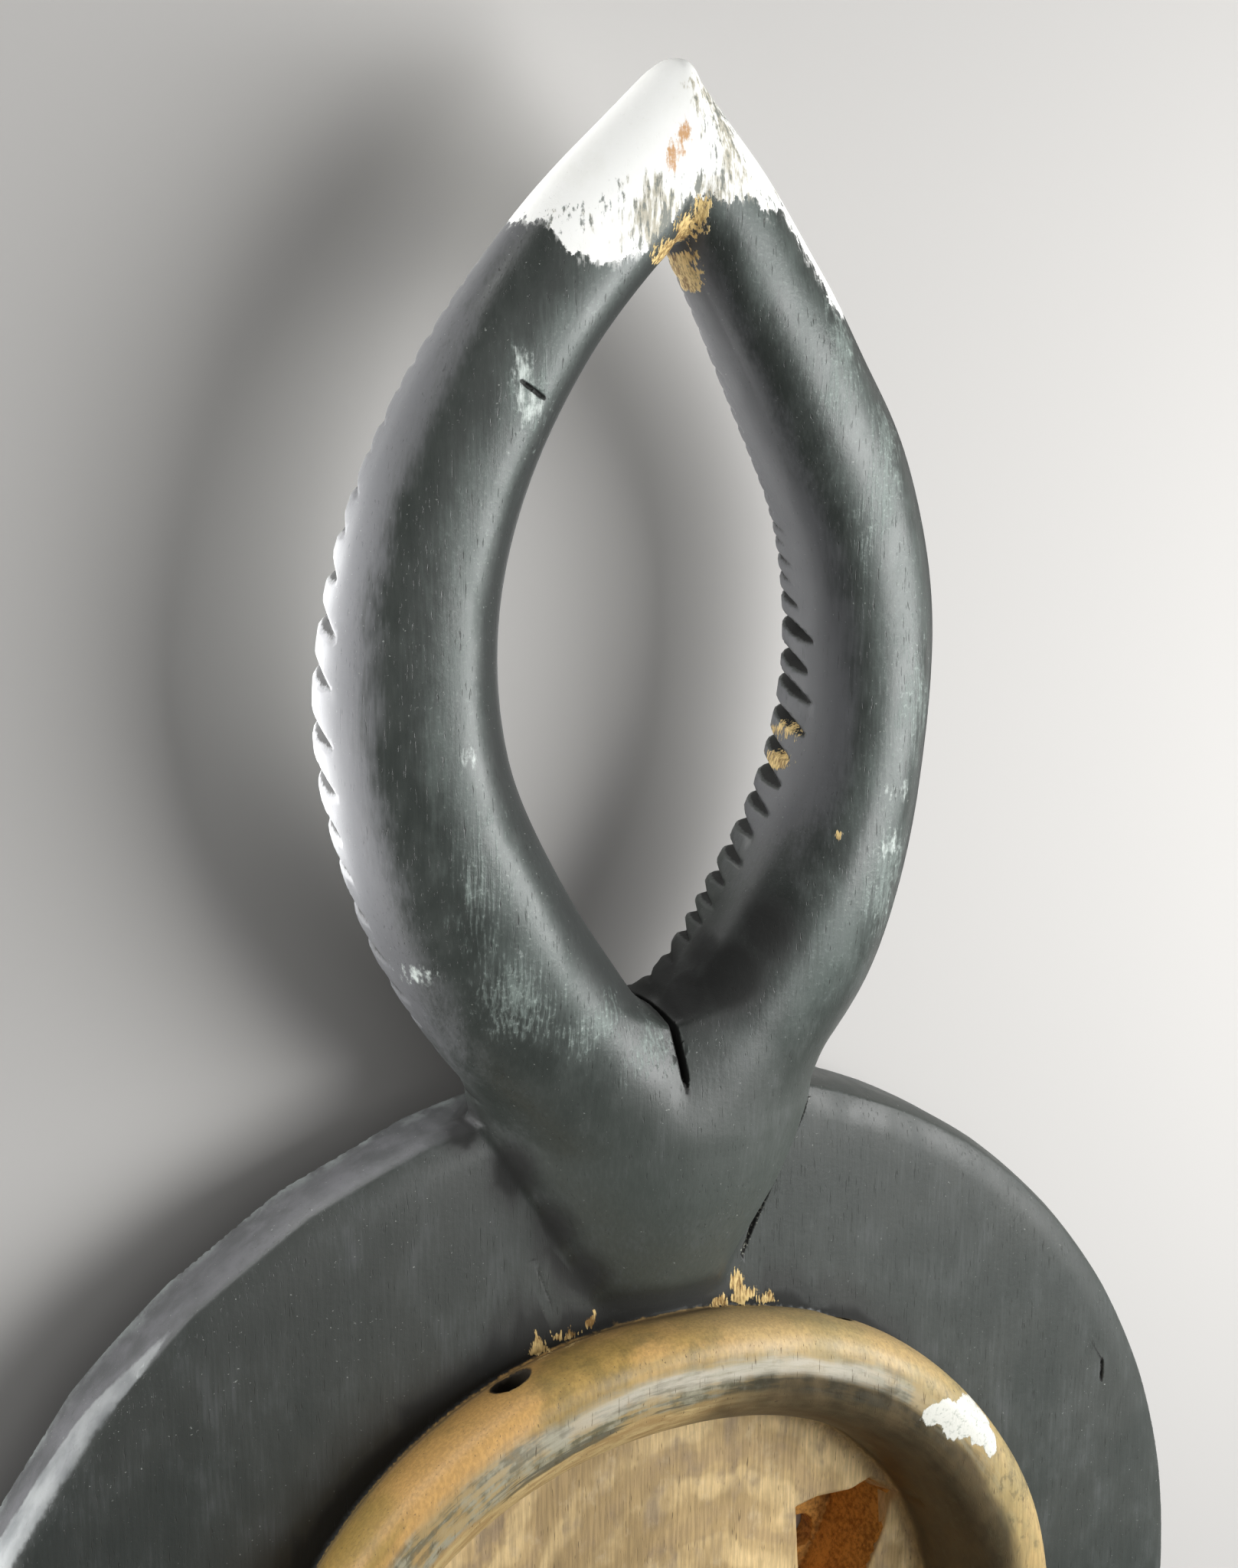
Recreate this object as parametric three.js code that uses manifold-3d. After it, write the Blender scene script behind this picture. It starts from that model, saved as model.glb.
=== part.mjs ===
// Goli mask: one carved piece of wood, lying on its face with the back up.
//
// Millimetres. The carving is laid out in its own frame: X across the face, Y from the chin
// to the horn tip, Z out of the back, with the back of the disc at Z = 0 and the middle of
// the disc at X = Y = 0. The last lines lift it so that it rests on Z = 0.

import * as THREE from 'three';
import { mergeVertices } from 'three/addons/utils/BufferGeometryUtils.js';
import Module from 'manifold-3d';

// Disc
const discRadius = 205;
const discThickness = 23.5;
const edgeBevel = 3;
const borderWidth = 27;
const borderHeight = 3;
const discSides = 72;

// Rim round the wearer's cavity, as ovals: [height above the back, half width, half length]
const rimCentre = new THREE.Vector2(8, -4);
const rimSquareness = 2.15;
const rimSides = 60;
const rimOutside = [
  [-6, 126, 136],
  [0, 126, 136],
  [9, 129.5, 139.5],
  [16, 131, 141],
  [22, 129.5, 139.5],
  [26, 125.5, 135.5],
  [27.5, 120.5, 130],
];
const cavityWall = [
  [-10, 103, 101.5],
  [0, 105, 104.5],
  [12, 107.5, 107.5],
  [20, 110, 111],
  [25, 113.5, 116.5],
  [28, 119, 127],
];

// Holes through the rim for the costume's cords, as angles from +X round the rim
const cordHoleRadius = 5.6;
const cordHoleHeight = 9;
const cordHoleAngles = [66, 112, 222, 318];
const cordHoleLength = 50;

// Stem on the back, from the rim to the horns: [Y, left X, right X, height]. It falls off more
// softly on the left than on the right.
const stemSides = 24;
const stemDepth = 8;
const stemUnderside = 13;
const stemSquareness = { left: 1.75, right: 2.3 };
const stemSections = [
  [124, -10, 30, 2],
  [138, -13.5, 31, 6],
  [150, -18, 35, 13],
  [163, -24.5, 41, 20],
  [176, -32, 48, 25],
  [190, -40.5, 55.5, 27.5],
  [201, -46, 57, 27.5],
  [212, -46, 54, 22.5],
  [224, -36, 42, 8],
];

// Horns: values at even steps of Y from hornBase to hornTip
const hornBase = 187;
const hornTip = 470;
const hornRingGap = 11;
const hornSquareness = { front: 2.8, back: 2.1 };
const hornSides = 14;
const hornMiddle = 2;
const hornLift = [4.9, 5.7, 7.7, 8.2, 13, 17];
const hornHalfDepth = [18, 24.3, 23, 18.9, 16.8, 11];

// The ridge along a horn's back lies inside its middle by a share of the half width. Notches:
// places from the first to the last one as shares, with the pitch and the depth at each.
const horns = [
  {
    side: 1,
    reach: [1.6, 45.9, 64.1, 62.1, 32.8, -7.5],
    halfWidth: [26.6, 25, 19.4, 19.3, 17.4, 11.4],
    ridge: 0.06,
    notchPlaces: [0, 0.15, 0.52, 0.6, 1],
    notchPitch: [7, 8.6, 9.2, 6, 5.2],
    notchDepth: [1.8, 3.4, 4, 1.6, 1.2],
  },
  {
    side: -1,
    reach: [-3.1, 41.9, 66.1, 63.3, 37, -15.1],
    halfWidth: [21.1, 25.8, 23.5, 20.8, 18, 16.4],
    ridge: 0.2,
    notchPlaces: [0, 0.2, 0.58, 0.7, 1],
    notchPitch: [8, 10.5, 11, 7.5, 6.5],
    notchDepth: [1.4, 3, 3.4, 1.6, 1.1],
  },
];
const hornEnd = 472;
const tipRadii = new THREE.Vector3(5.4, 7.5, 9.5);
const tipPlace = new THREE.Vector3(2.2, 469.7, 16.5);

// Notches across the front of each horn, which run a little way up both its sides
const notchFrom = 0.1;
const notchTo = 0.88;
const notchWidth = 0.33;
const notchWander = { pitch: 0.1, depth: 0.18 };
const notchReach = 0.1;
const landPitch = 7.5;

// Eyes: drops that stand out from the front, hollowed from the back
const faceMiddle = 8;
const faceRelief = 22;
const eyeSpread = 72;
const eyeHeight = 26;
const eyeRadius = 35;
const eyePoint = 112;
const eyePointRadius = 7;
const featureBevel = 4;
const eyeHollowDepth = 27;
const eyeHollowTaper = 0.72;
const eyeHollow = [
  [-17, 27],
  [-9, 28.5],
  [3, 28],
  [10, 30.5],
  [18, 24],
  [16, 12],
  [9, -5],
  [-2, -22],
  [-14, -16],
  [-15.5, 6],
];
const sightHoleRadius = 6;

// Mouth: a block with a sunken row of teeth
const mouthHeight = -98;
const mouthWidth = 104;
const mouthLength = 46;
const mouthRecess = new THREE.Vector3(80, 22, 9);
const toothCount = 8;
const toothGap = 3.5;
const toothSink = 2.5;

// How far a solid reaches into the one that it is joined to or cut from
const overlap = 2;

const wasm = await Module();
wasm.setup();

// A closed three.js geometry as a solid that can be joined and cut.
function solid(geometry) {
  geometry.deleteAttribute('normal');
  geometry.deleteAttribute('uv');
  const merged = mergeVertices(geometry, 1e-4);
  return new wasm.Manifold(new wasm.Mesh({
    numProp: 3,
    vertProperties: new Float32Array(merged.attributes.position.array),
    triVerts: new Uint32Array(merged.index.array),
  }));
}

// The three.js geometry of a finished solid.
function geometryOf(body) {
  const mesh = body.getMesh();
  const geometry = new THREE.BufferGeometry();
  geometry.setAttribute('position', new THREE.BufferAttribute(new Float32Array(mesh.vertProperties), 3));
  geometry.setIndex(new THREE.BufferAttribute(new Uint32Array(mesh.triVerts), 1));
  geometry.computeVertexNormals();
  return geometry;
}

// A closed skin over rings of points that follow one another, each with the same count.
// The rings run anticlockwise as seen from the last ring looking back to the first.
function loft(rings) {
  const count = rings[0].length;
  const points = rings.flat();
  const faces = [];
  for (let level = 0; level + 1 < rings.length; level += 1) {
    for (let i = 0; i < count; i += 1) {
      const a = level * count + i;
      const b = level * count + ((i + 1) % count);
      faces.push(a, b, b + count, a, b + count, a + count);
    }
  }
  for (const last of [false, true]) {
    const start = last ? (rings.length - 1) * count : 0;
    const middle = points.length;
    const centre = new THREE.Vector3();
    for (let i = 0; i < count; i += 1) {
      centre.addScaledVector(points[start + i], 1 / count);
    }
    points.push(centre);
    for (let i = 0; i < count; i += 1) {
      const here = start + i;
      const next = start + ((i + 1) % count);
      faces.push(...(last ? [middle, here, next] : [middle, next, here]));
    }
  }
  const geometry = new THREE.BufferGeometry().setFromPoints(points);
  geometry.setIndex(faces);
  return geometry;
}

// One point of a squared oval, at a share of a full turn.
function squaredOval(share, halfWidth, halfHeight, squareness) {
  const angle = share * 2 * Math.PI;
  const bend = (value) => Math.sign(value) * Math.abs(value) ** (2 / squareness);
  return [halfWidth * bend(Math.cos(angle)), halfHeight * bend(Math.sin(angle))];
}

// A smooth value between knots at even steps of t from 0 to 1.
function along(knots, t) {
  const times = knots.map((_, index) => index / (knots.length - 1));
  return new THREE.CubicInterpolant(times, knots, 1).evaluate(t)[0];
}

function block(width, length, height, x, y, z) {
  return solid(new THREE.BoxGeometry(width, length, height).translate(x, y, z));
}

// Disc, with a low raised border round its front.
function disc() {
  const front = -discThickness;
  const field = front + borderHeight;
  const border = discRadius - borderWidth;
  const profile = [
    [0, field],
    [border - borderHeight, field],
    [border, front],
    [discRadius - edgeBevel, front],
    [discRadius, front + edgeBevel],
    [discRadius, -edgeBevel],
    [discRadius - edgeBevel, 0],
    [0, 0],
  ];
  const outline = profile.map(([radius, height]) => new THREE.Vector2(radius, height));
  return solid(new THREE.LatheGeometry(outline, discSides).rotateX(Math.PI / 2));
}

function rimLoft(levels) {
  const ring = ([height, halfWidth, halfLength]) => Array.from({ length: rimSides }, (_, i) => {
    const [x, y] = squaredOval(i / rimSides, halfWidth, halfLength, rimSquareness);
    return new THREE.Vector3(rimCentre.x + x, rimCentre.y + y, height);
  });
  return solid(loft(levels.map(ring)));
}

function cordHole(degrees) {
  const angle = THREE.MathUtils.degToRad(degrees);
  const [, halfWidth, halfLength] = rimOutside[3];
  const hole = new THREE.CylinderGeometry(cordHoleRadius, cordHoleRadius, cordHoleLength, 12);
  hole.rotateZ(-Math.PI / 2).rotateZ(angle);
  hole.translate(
    rimCentre.x + halfWidth * Math.cos(angle),
    rimCentre.y + halfLength * Math.sin(angle),
    cordHoleHeight,
  );
  return solid(hole);
}

// Stem: half ovals that stand on the back, with a shallow round underside past the disc's edge.
function stem() {
  const ring = ([y, left, right, height]) => Array.from({ length: stemSides }, (_, i) => {
    const share = i / stemSides;
    const squareness = share < 0.25 || share > 0.75 ? stemSquareness.left : stemSquareness.right;
    const reach = share < 0.5 ? height + stemDepth : stemUnderside;
    const [x, z] = squaredOval(share, (right - left) / 2, reach, squareness);
    return new THREE.Vector3((left + right) / 2 - x, y, z - stemDepth);
  });
  return solid(loft(stemSections.map(ring)));
}

// A value on straight lines between a table's places.
function between(places, values, place) {
  const after = Math.min(Math.max(1, places.findIndex((value) => value >= place)), places.length - 1);
  const part = (place - places[after - 1]) / (places[after] - places[after - 1]);
  return values[after - 1] + (values[after] - values[after - 1]) * Math.min(1, part);
}

// The point and the direction of a horn's middle line, and its section, at t from 0 to 1.
function hornAt(horn, t) {
  const point = (share) => new THREE.Vector3(
    horn.side * along(horn.reach, share),
    hornBase + (hornTip - hornBase) * share,
    along(hornLift, share),
  );
  const step = 0.01;
  const ahead = point(Math.min(1, t + step)).sub(point(Math.max(0, t - step))).normalize();
  const across = new THREE.Vector3().crossVectors(ahead, new THREE.Vector3(0, 0, 1)).normalize();
  const out = new THREE.Vector3().crossVectors(across, ahead);
  const halfWidth = along(horn.halfWidth, t);
  const halfDepth = along(hornHalfDepth, t);
  return { middle: point(t), ahead, across, out, halfWidth, halfDepth };
}

// One ring of a horn; where it lies in a notch, its front is pulled in by the notch's depth.
function hornRing(horn, section, depth) {
  return Array.from({ length: hornSides }, (_, i) => {
    const { halfWidth, halfDepth } = section;
    const share = (i + 0.5) / hornSides;
    const squareness = share < 0.5 ? hornSquareness.back : hornSquareness.front;
    let [x, z] = squaredOval(share, halfWidth, halfDepth, squareness);
    x += horn.side * horn.ridge * (halfWidth - Math.abs(x));
    if (z < -notchReach * halfDepth) {
      x -= Math.sign(x) * depth * Math.abs(x / halfWidth);
      z += depth * Math.abs(z / halfDepth);
    }
    return section.middle.clone().addScaledVector(section.across, -x).addScaledVector(section.out, z);
  });
}

// A horn's notches, as [distance along the middle line, half width, depth]. Their pitch and
// depth wander a little, as cuts by hand do.
function notches(horn, first, last) {
  const cuts = [];
  let distance = first;
  while (distance < last) {
    const place = (distance - first) / (last - first);
    const pitch = between(horn.notchPlaces, horn.notchPitch, place);
    const depth = between(horn.notchPlaces, horn.notchDepth, place);
    const turn = 2.4 * cuts.length;
    cuts.push([distance, notchWidth * pitch, depth * (1 - notchWander.depth * Math.cos(turn)), pitch]);
    distance += pitch * (1 + notchWander.pitch * Math.sin(turn));
  }
  return cuts;
}

// Places of a horn's rings, as [t, depth of notch]. Each notch has a ring in its valley and
// one at its lip, or two lips with a flat land between them where the pitch is long enough.
function hornRings(horn) {
  const samples = 200;
  const length = [0];
  for (let i = 1; i <= samples; i += 1) {
    const here = hornAt(horn, i / samples).middle;
    length.push(length[i - 1] + here.distanceTo(hornAt(horn, (i - 1) / samples).middle));
  }
  const shares = length.map((_, i) => i / samples);
  const shareAt = (distance) => between(length, shares, distance);
  const first = length[Math.round(notchFrom * samples)];
  const last = length[Math.round(notchTo * samples)];
  const whole = length[samples];
  const places = [];
  for (let distance = 0; distance < first - hornRingGap / 2; distance += hornRingGap) {
    places.push([shareAt(distance), 0]);
  }
  const cuts = notches(horn, first, last);
  for (const [valley, halfWidth, depth, pitch] of cuts) {
    if (pitch > landPitch) {
      places.push([shareAt(valley - halfWidth), 0]);
    }
    places.push([shareAt(valley), depth], [shareAt(valley + halfWidth), 0]);
  }
  const end = cuts[cuts.length - 1][0];
  for (let distance = end + hornRingGap; distance < whole - hornRingGap / 2; distance += hornRingGap) {
    places.push([shareAt(distance), 0]);
  }
  places.push([1, 0]);
  return places;
}

// One horn, cut off at the plane where it meets the other one.
function hornSolid(horn) {
  const rings = hornRings(horn).map(([t, depth]) => hornRing(horn, hornAt(horn, t), depth));
  const reach = 4 * discRadius;
  const half = block(reach, reach, reach, hornMiddle + horn.side * reach / 2, hornEnd - reach / 2, 0);
  return solid(loft(rings)).intersect(half);
}

function hornTipSolid() {
  const tip = new THREE.SphereGeometry(1, 16, 10);
  tip.scale(tipRadii.x, tipRadii.y, tipRadii.z).translate(tipPlace.x, tipPlace.y, tipPlace.z);
  return solid(tip);
}

// Drop-shaped eye: a round lower end drawn out to a point towards the horns.
function eyeShape() {
  const rise = eyePoint - eyeHeight - eyePointRadius;
  const lean = Math.asin((eyeRadius - eyePointRadius) / rise);
  const shape = new THREE.Shape();
  shape.absarc(0, 0, eyeRadius, Math.PI - lean, 2 * Math.PI + lean, false);
  shape.absarc(0, rise, eyePointRadius, lean, Math.PI - lean, false);
  return shape;
}

// A raised feature of the face: the outline stood out from the front, with softened edges.
function raised(shape, x, y) {
  const root = -discThickness + borderHeight + featureBevel + overlap;
  const top = -discThickness - faceRelief;
  const body = new THREE.ExtrudeGeometry(shape, {
    depth: root - top - 2 * featureBevel,
    bevelThickness: featureBevel,
    bevelSize: featureBevel,
    bevelOffset: -featureBevel,
    bevelSegments: 2,
    curveSegments: 12,
  });
  return solid(body.translate(x, y, top + featureBevel));
}

function eyeCut(side) {
  const x = faceMiddle + side * eyeSpread;
  const floor = cavityWall[0][0];
  const ring = (height, scale) => eyeHollow.map(([across, up]) => (
    new THREE.Vector3(x + side * across * scale, eyeHeight + up * scale, height)
  ));
  const rings = [ring(floor - eyeHollowDepth, eyeHollowTaper), ring(floor, 1), ring(floor + overlap, 1)];
  const anticlockwise = side < 0 ? rings : rings.map((points) => points.reverse());
  const sight = new THREE.CylinderGeometry(sightHoleRadius, sightHoleRadius, 2 * eyeHollowDepth, 16);
  sight.rotateX(Math.PI / 2).translate(x, eyeHeight, -discThickness - faceRelief);
  return solid(loft(anticlockwise)).add(solid(sight));
}

function mouth() {
  const halfWidth = mouthWidth / 2;
  const halfLength = mouthLength / 2;
  const outline = new THREE.Shape([
    new THREE.Vector2(-halfWidth, -halfLength),
    new THREE.Vector2(halfWidth, -halfLength),
    new THREE.Vector2(halfWidth, halfLength),
    new THREE.Vector2(-halfWidth, halfLength),
  ]);
  const front = -discThickness - faceRelief;
  const recess = block(mouthRecess.x, mouthRecess.y, 2 * mouthRecess.z, faceMiddle, mouthHeight, front);
  let body = raised(outline, faceMiddle, mouthHeight).subtract(recess);
  const pitch = mouthRecess.x / toothCount;
  for (let i = 0; i < toothCount; i += 1) {
    const x = faceMiddle + (i - (toothCount - 1) / 2) * pitch;
    const height = mouthRecess.z - toothSink + overlap;
    const z = front + toothSink + height / 2;
    body = body.add(block(pitch - toothGap, mouthRecess.y + overlap, height, x, mouthHeight, z));
  }
  return body;
}

let carving = disc().add(rimLoft(rimOutside)).add(stem());
for (const horn of horns) {
  carving = carving.add(hornSolid(horn));
}
carving = carving.add(hornTipSolid());
carving = carving.subtract(rimLoft(cavityWall));
for (const side of [1, -1]) {
  carving = carving.add(raised(eyeShape(), faceMiddle + side * eyeSpread, eyeHeight));
}
for (const side of [1, -1]) {
  carving = carving.subtract(eyeCut(side));
}
carving = carving.add(mouth());
for (const degrees of cordHoleAngles) {
  carving = carving.subtract(cordHole(degrees));
}

const wood = new THREE.MeshStandardMaterial({ color: 0x3a3d3a, roughness: 0.6, metalness: 0 });
const mask = new THREE.Mesh(geometryOf(carving), wood);
mask.name = 'goli_mask';

// Origin under the middle of the mask's outline, on the surface that it lies on.
mask.geometry.computeBoundingBox();
const box = mask.geometry.boundingBox;
const group = new THREE.Group();
group.add(mask);
group.position.set(-(box.min.x + box.max.x) / 2, -(box.min.y + box.max.y) / 2, -box.min.z);

export default group;
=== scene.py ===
"""The goli mask: one carved and painted piece of wood, lying on its face with its back up.

The carving is worked out in millimetres in a frame of its own: X across the face, Y from the chin
to the horn tip, Z out of the back, with the back of the disc at Z = 0 and the middle of the disc
at X = Y = 0. It is one field of signed distances, negative in the wood, that is turned into a mesh
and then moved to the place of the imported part, in metres.
"""

import bmesh
import bpy
import numpy as np
from mathutils import Matrix, Vector


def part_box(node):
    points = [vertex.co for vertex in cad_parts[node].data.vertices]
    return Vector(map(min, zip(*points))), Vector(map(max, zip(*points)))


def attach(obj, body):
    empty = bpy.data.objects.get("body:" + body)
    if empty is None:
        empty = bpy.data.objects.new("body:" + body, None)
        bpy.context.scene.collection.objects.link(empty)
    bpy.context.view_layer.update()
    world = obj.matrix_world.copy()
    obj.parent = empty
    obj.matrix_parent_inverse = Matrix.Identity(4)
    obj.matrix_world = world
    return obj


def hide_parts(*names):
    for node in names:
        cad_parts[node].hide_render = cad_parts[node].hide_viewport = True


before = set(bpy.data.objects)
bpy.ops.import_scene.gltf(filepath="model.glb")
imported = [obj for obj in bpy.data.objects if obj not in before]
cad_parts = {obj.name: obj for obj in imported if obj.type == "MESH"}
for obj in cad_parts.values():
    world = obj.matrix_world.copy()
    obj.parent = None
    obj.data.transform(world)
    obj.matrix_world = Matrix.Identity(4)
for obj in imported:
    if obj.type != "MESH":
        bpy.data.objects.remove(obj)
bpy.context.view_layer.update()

NODE = "goli_mask"
MM = 0.001

# Disc
DISC_RADIUS = 204.9
DISC_THICKNESS = 23.4
DISC_ROUNDING = 2.2
BORDER_WIDTH = 27
BORDER_HEIGHT = 3
BACK_FALL = (186, 1.2)
CHAMFER = (3.2, 5.4)
CHAMFER_ROUNDING = (5.5, 2.4)
CHAMFER_FROM = 134
FACET_STEP = 10.7
FACET_SHARE = (0.15, 0.75)
KNIFED_RISE = (95, 110)
KNIFED_FALL = (205, 185)
DISC_TRIM = 0.2

# Rim round the wearer's cavity
RIM_CENTRE = (8, -4)
RIM_SQUARENESS = 2.15
RIM_FOOT = (126, 136)
RIM_BULGE = 5.0
RIM_BULGE_HEIGHT = 16
RIM_CREST = 27.1
RIM_DEGREE = 1.9
CREST_OVAL = (121.5, 130)
CREST_FALL = 0.014
CREST_ROUNDING = 5
CAVITY_FLOOR = -10
CAVITY_FOOT = (105, 104.5)
CAVITY_LEAN = (0.15, 0.12)
CAVITY_FLARE = (0.006, 0.012)
CAVITY_ROUNDING = 7

# Cord holes through the rim
CORD_HOLE_RADIUS = 5.6
CORD_HOLE_HEIGHT = 9
CORD_HOLE_ANGLES = (66, 112, 222, 318)
CORD_HOLE_REACH = 25

# Stem, from the rim to the horns: [Y, left X, right X, height]
STEM_DEPTH = 8
STEM_UNDERSIDE = 13
STEM_SQUARENESS = (1.75, 2.3)
STEM_BLEND = 10.6
STEM = np.array([
    [120, -9, 30, 1],
    [138, -13.5, 31, 6],
    [150, -18, 35, 13],
    [163, -24.5, 41, 20],
    [176, -32, 48, 25],
    [190, -40.5, 53.9, 27.5],
    [201, -46, 56.9, 28],
    [212, -46, 55, 24.3],
    [226, -40, 46, 19.5],
], float)

# Horns: values at even steps of Y from HORN_BASE to HORN_TIP, in tables that run on past both.
# The notches' pitch, depth and reach belong to places between the first notch and the last.
HORN_BASE = 187
HORN_TIP = 470
HORN_TABLE = (-0.12, 1.12, 621)
HORN_SQUARENESS = (2.8, 2.1)
HORN_MIDDLE = 2
HORN_MEETING = 4.5
HORN_LIFT = [4.6, 5.4, 7.4, 7.9, 12.6, 16.6]
HORN_HALF_DEPTH = [18, 24.3, 23, 18.9, 16.8, 11]
RIGHT_HORN = {
    "reach": [1.6, 45.9, 64.1, 62.1, 32.8, -7.5],
    "half_width": [26.6, 25, 19.4, 19.3, 17.4, 11.4],
    "places": [0, 0.15, 0.52, 0.6, 1],
    "pitch": [7, 8.6, 9.2, 6, 5.2],
    "depth": [1.4, 2.7, 4.2, 1.4, 0.9],
    "cut_reach": [0.3, 0.05, -0.28, 0.15, 0.35],
    "ridge": 0.06,
    "worn_and_lit_line": -0.05,
}
LEFT_HORN = {
    "reach": [-3.1, 41.9, 66.1, 63.3, 37, -15.1],
    "half_width": [21.1, 25.8, 23.5, 20.8, 18, 16.4],
    "places": [0, 0.2, 0.58, 0.7, 1],
    "pitch": [8, 10.5, 11, 7.5, 6.5],
    "depth": [1.2, 2.4, 2.9, 1.1, 0.7],
    "cut_reach": [0.2, -0.1, -0.2, 0.15, 0.35],
    "ridge": 0.2,
    "worn_and_lit_line": 0.34,
}
HORN_END = 477.9
HORN_END_ROUNDING = 5
TIP_SWELL = (425, 455, 1.1)

# Notches across the front of each horn, and how far chance spreads them
NOTCH_SHARES = (0.1, 0.88)
NOTCH_LEAN = 0.3
NOTCH_WIDTH = 0.33
PITCH_SPREAD = (0.88, 1.12)
DEPTH_SPREAD = (0.75, 1.15)
WIDTH_SPREAD = (0.8, 1.15)
REACH_SPREAD = (-0.1, 0.1)

# Front: drop-shaped eyes and a mouth with teeth
FACE_MIDDLE = 8
FACE_RELIEF = 22
FEATURE_ROUNDING = 4
EYE_SPREAD = 72
EYE_HEIGHT = 26
EYE_RADIUS = 35
EYE_RISE = 79
EYE_POINT_RADIUS = 7
EYE_HOLLOW_DEPTH = 27
EYE_HOLLOW_TAPER = 0.72
EYE_HOLLOW = np.array([
    [-17, 27], [-9, 28.5], [3, 28], [10, 30.5], [18, 24],
    [16, 12], [9, -5], [-2, -22], [-14, -16], [-15.5, 6],
], float)
SIGHT_HOLE_RADIUS = 6
MOUTH_HEIGHT = -98
MOUTH_SIZE = (104, 46)
MOUTH_RECESS = (80, 22, 9)
RECESS_ROUNDING = 1.5
TOOTH_COUNT = 8
TOOTH_GAP = 3.5
TOOTH_SINK = 2.5
TOOTH_ROUNDING = 1.6

# Fine cuts and cracks on the back: (points along it, half width, depth)
BESIDE_STEM = [
    (58, 191), (55, 185.2), (52.3, 180.1), (47.6, 170.6), (43.1, 161.1), (39.4, 153.6), (36, 145),
]
CRACKS = [
    (BESIDE_STEM, 0.8, 1.6),
    ([(-30.5, 158), (-24.5, 142)], 0.6, 0.08),
    ([(170.7, 84), (170.9, 80), (170.8, 76)], 0.8, 1.2),
]
CRACKS_TOP = 9
NICK = ([(-45.5, 399.5), (-39.5, 395.4)], 0.9, 1)
SLIT = ([(3.4, 211), (2.6, 220), (1.8, 230)], 1.1, 6)

# All of them, each with the height that it ends at
HORNS_TOP = 60
FINE_MARKS = [(*mark, CRACKS_TOP) for mark in CRACKS] + [(*mark, HORNS_TOP) for mark in (NICK, SLIT)]

# Lower edge of the white paint on the horns
CAP_LINE = np.array([
    [-50, 437], [-43, 437.5], [-36.5, 438.5], [-34, 431], [-29, 428.5], [-21, 428], [-14, 430],
    [-9, 433.5], [-5, 438], [-1, 443], [5, 444], [10, 443], [16, 444.5], [21, 440], [26, 441],
    [30, 444], [33, 439], [36, 431], [39, 426], [45, 423],
])

# White paint that runs on down the right horn's outer side: (points along it, half width)
CAP_STRIP = ([(34, 441), (39, 434), (44, 427), (48, 420)], 4.8)

# Spots on the back: (X, Y and Z of the middle, radii along X, Y and Z)
RAW_WOOD = [
    (4, 440.5, 22, 4.5, 6, 8),
    (-0.5, 436, 22, 5.5, 5, 8),
    (-6, 431, 22, 6, 3.8, 8),
    (-1.5, 427, 16, 3, 6, 9),
    (5.1, 429.0, 12, 1.6, 3.5, 12),
    (6.6, 425.4, 12, 1.6, 4.5, 12),
    (8.0, 421.5, 12, 1.3, 4, 12),
    (34.8, 137.5, 2, 2.4, 5.4, 7),
    (29, 133, 2, 5, 2.2, 8),
    (37, 133, 0, 5.5, 2.8, 8),
    (47, 130.5, 0, 7, 1.9, 8),
    (-13, 135.8, 2, 2.2, 3.4, 6),
    (-21, 132.4, 0, 5, 1.6, 7),
    (-29, 129.6, 0, 4, 1.4, 7),
    (-50, 199, -2, 2.6, 1.6, 4),
    (48.5, 301, 2, 6, 3.2, 9),
    (44.5, 293, 2, 5, 2.8, 9),
    (48, 277, 27, 1.2, 1.6, 3),
]
RUST = [
    (-5.6, 452.6, 27, 2, 3.6, 7),
    (-3.6, 455.6, 27, 2.2, 3.8, 7),
    (-1.6, 458.4, 27, 2.2, 3.8, 7),
]
STAINS = [
    (9, 457, 20, 8, 22, 14),
    (6, 446, 24, 12, 8, 9),
    (-8, 438, 27, 11, 11, 8),
    (-20, 444, 27, 3, 3, 6),
    (-33, 438.5, 26, 9, 3.5, 6),
    (22, 443, 20, 9, 5, 10),
]
SCUFFS = [
    (64.7, 288, 27, 6, 4, 6),
    (62.5, 273, 27, 7, 5, 6),
    (-71.7, 250, 20, 6, 4, 8),
    (-47, 256, 27, 3, 2, 5),
    (-45, 402, 27, 3.5, 5.5, 5),
    (-43.5, 394, 27, 5, 6, 5),
    (-61, 308, 27, 4, 3, 5),
    (-142.7, 147.3, -2, 3, 3, 4),
]
WHITE_CHIP = [
    (89.5, 96.5, 25, 8, 4.5, 8),
    (98, 92.3, 24, 9, 7.5, 8),
    (104, 87.3, 23, 5.5, 6.5, 8),
    (108, 81.3, 22, 3.6, 5.5, 8),
]
# A small pit, drawn only as a dark spot of painted shade
PITS = [(35.5, 111.3, 26.5, 2.6, 1.4, 5)]

# Pale band on the left of the disc's side wall, part wear and part painted highlight: [angle about the disc,
# lowest Z, highest Z]
PALE_SIDE_RADIUS = 190
PALE_SIDE = np.array([
    [128, -4.5, -5.5],
    [131, -6, -4],
    [137, -9, 0],
    [146, -13, 1],
    [160, -15, 1],
    [182, -15, 1],
    [200, -9, -4],
    [204, -7, -8],
])
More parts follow.
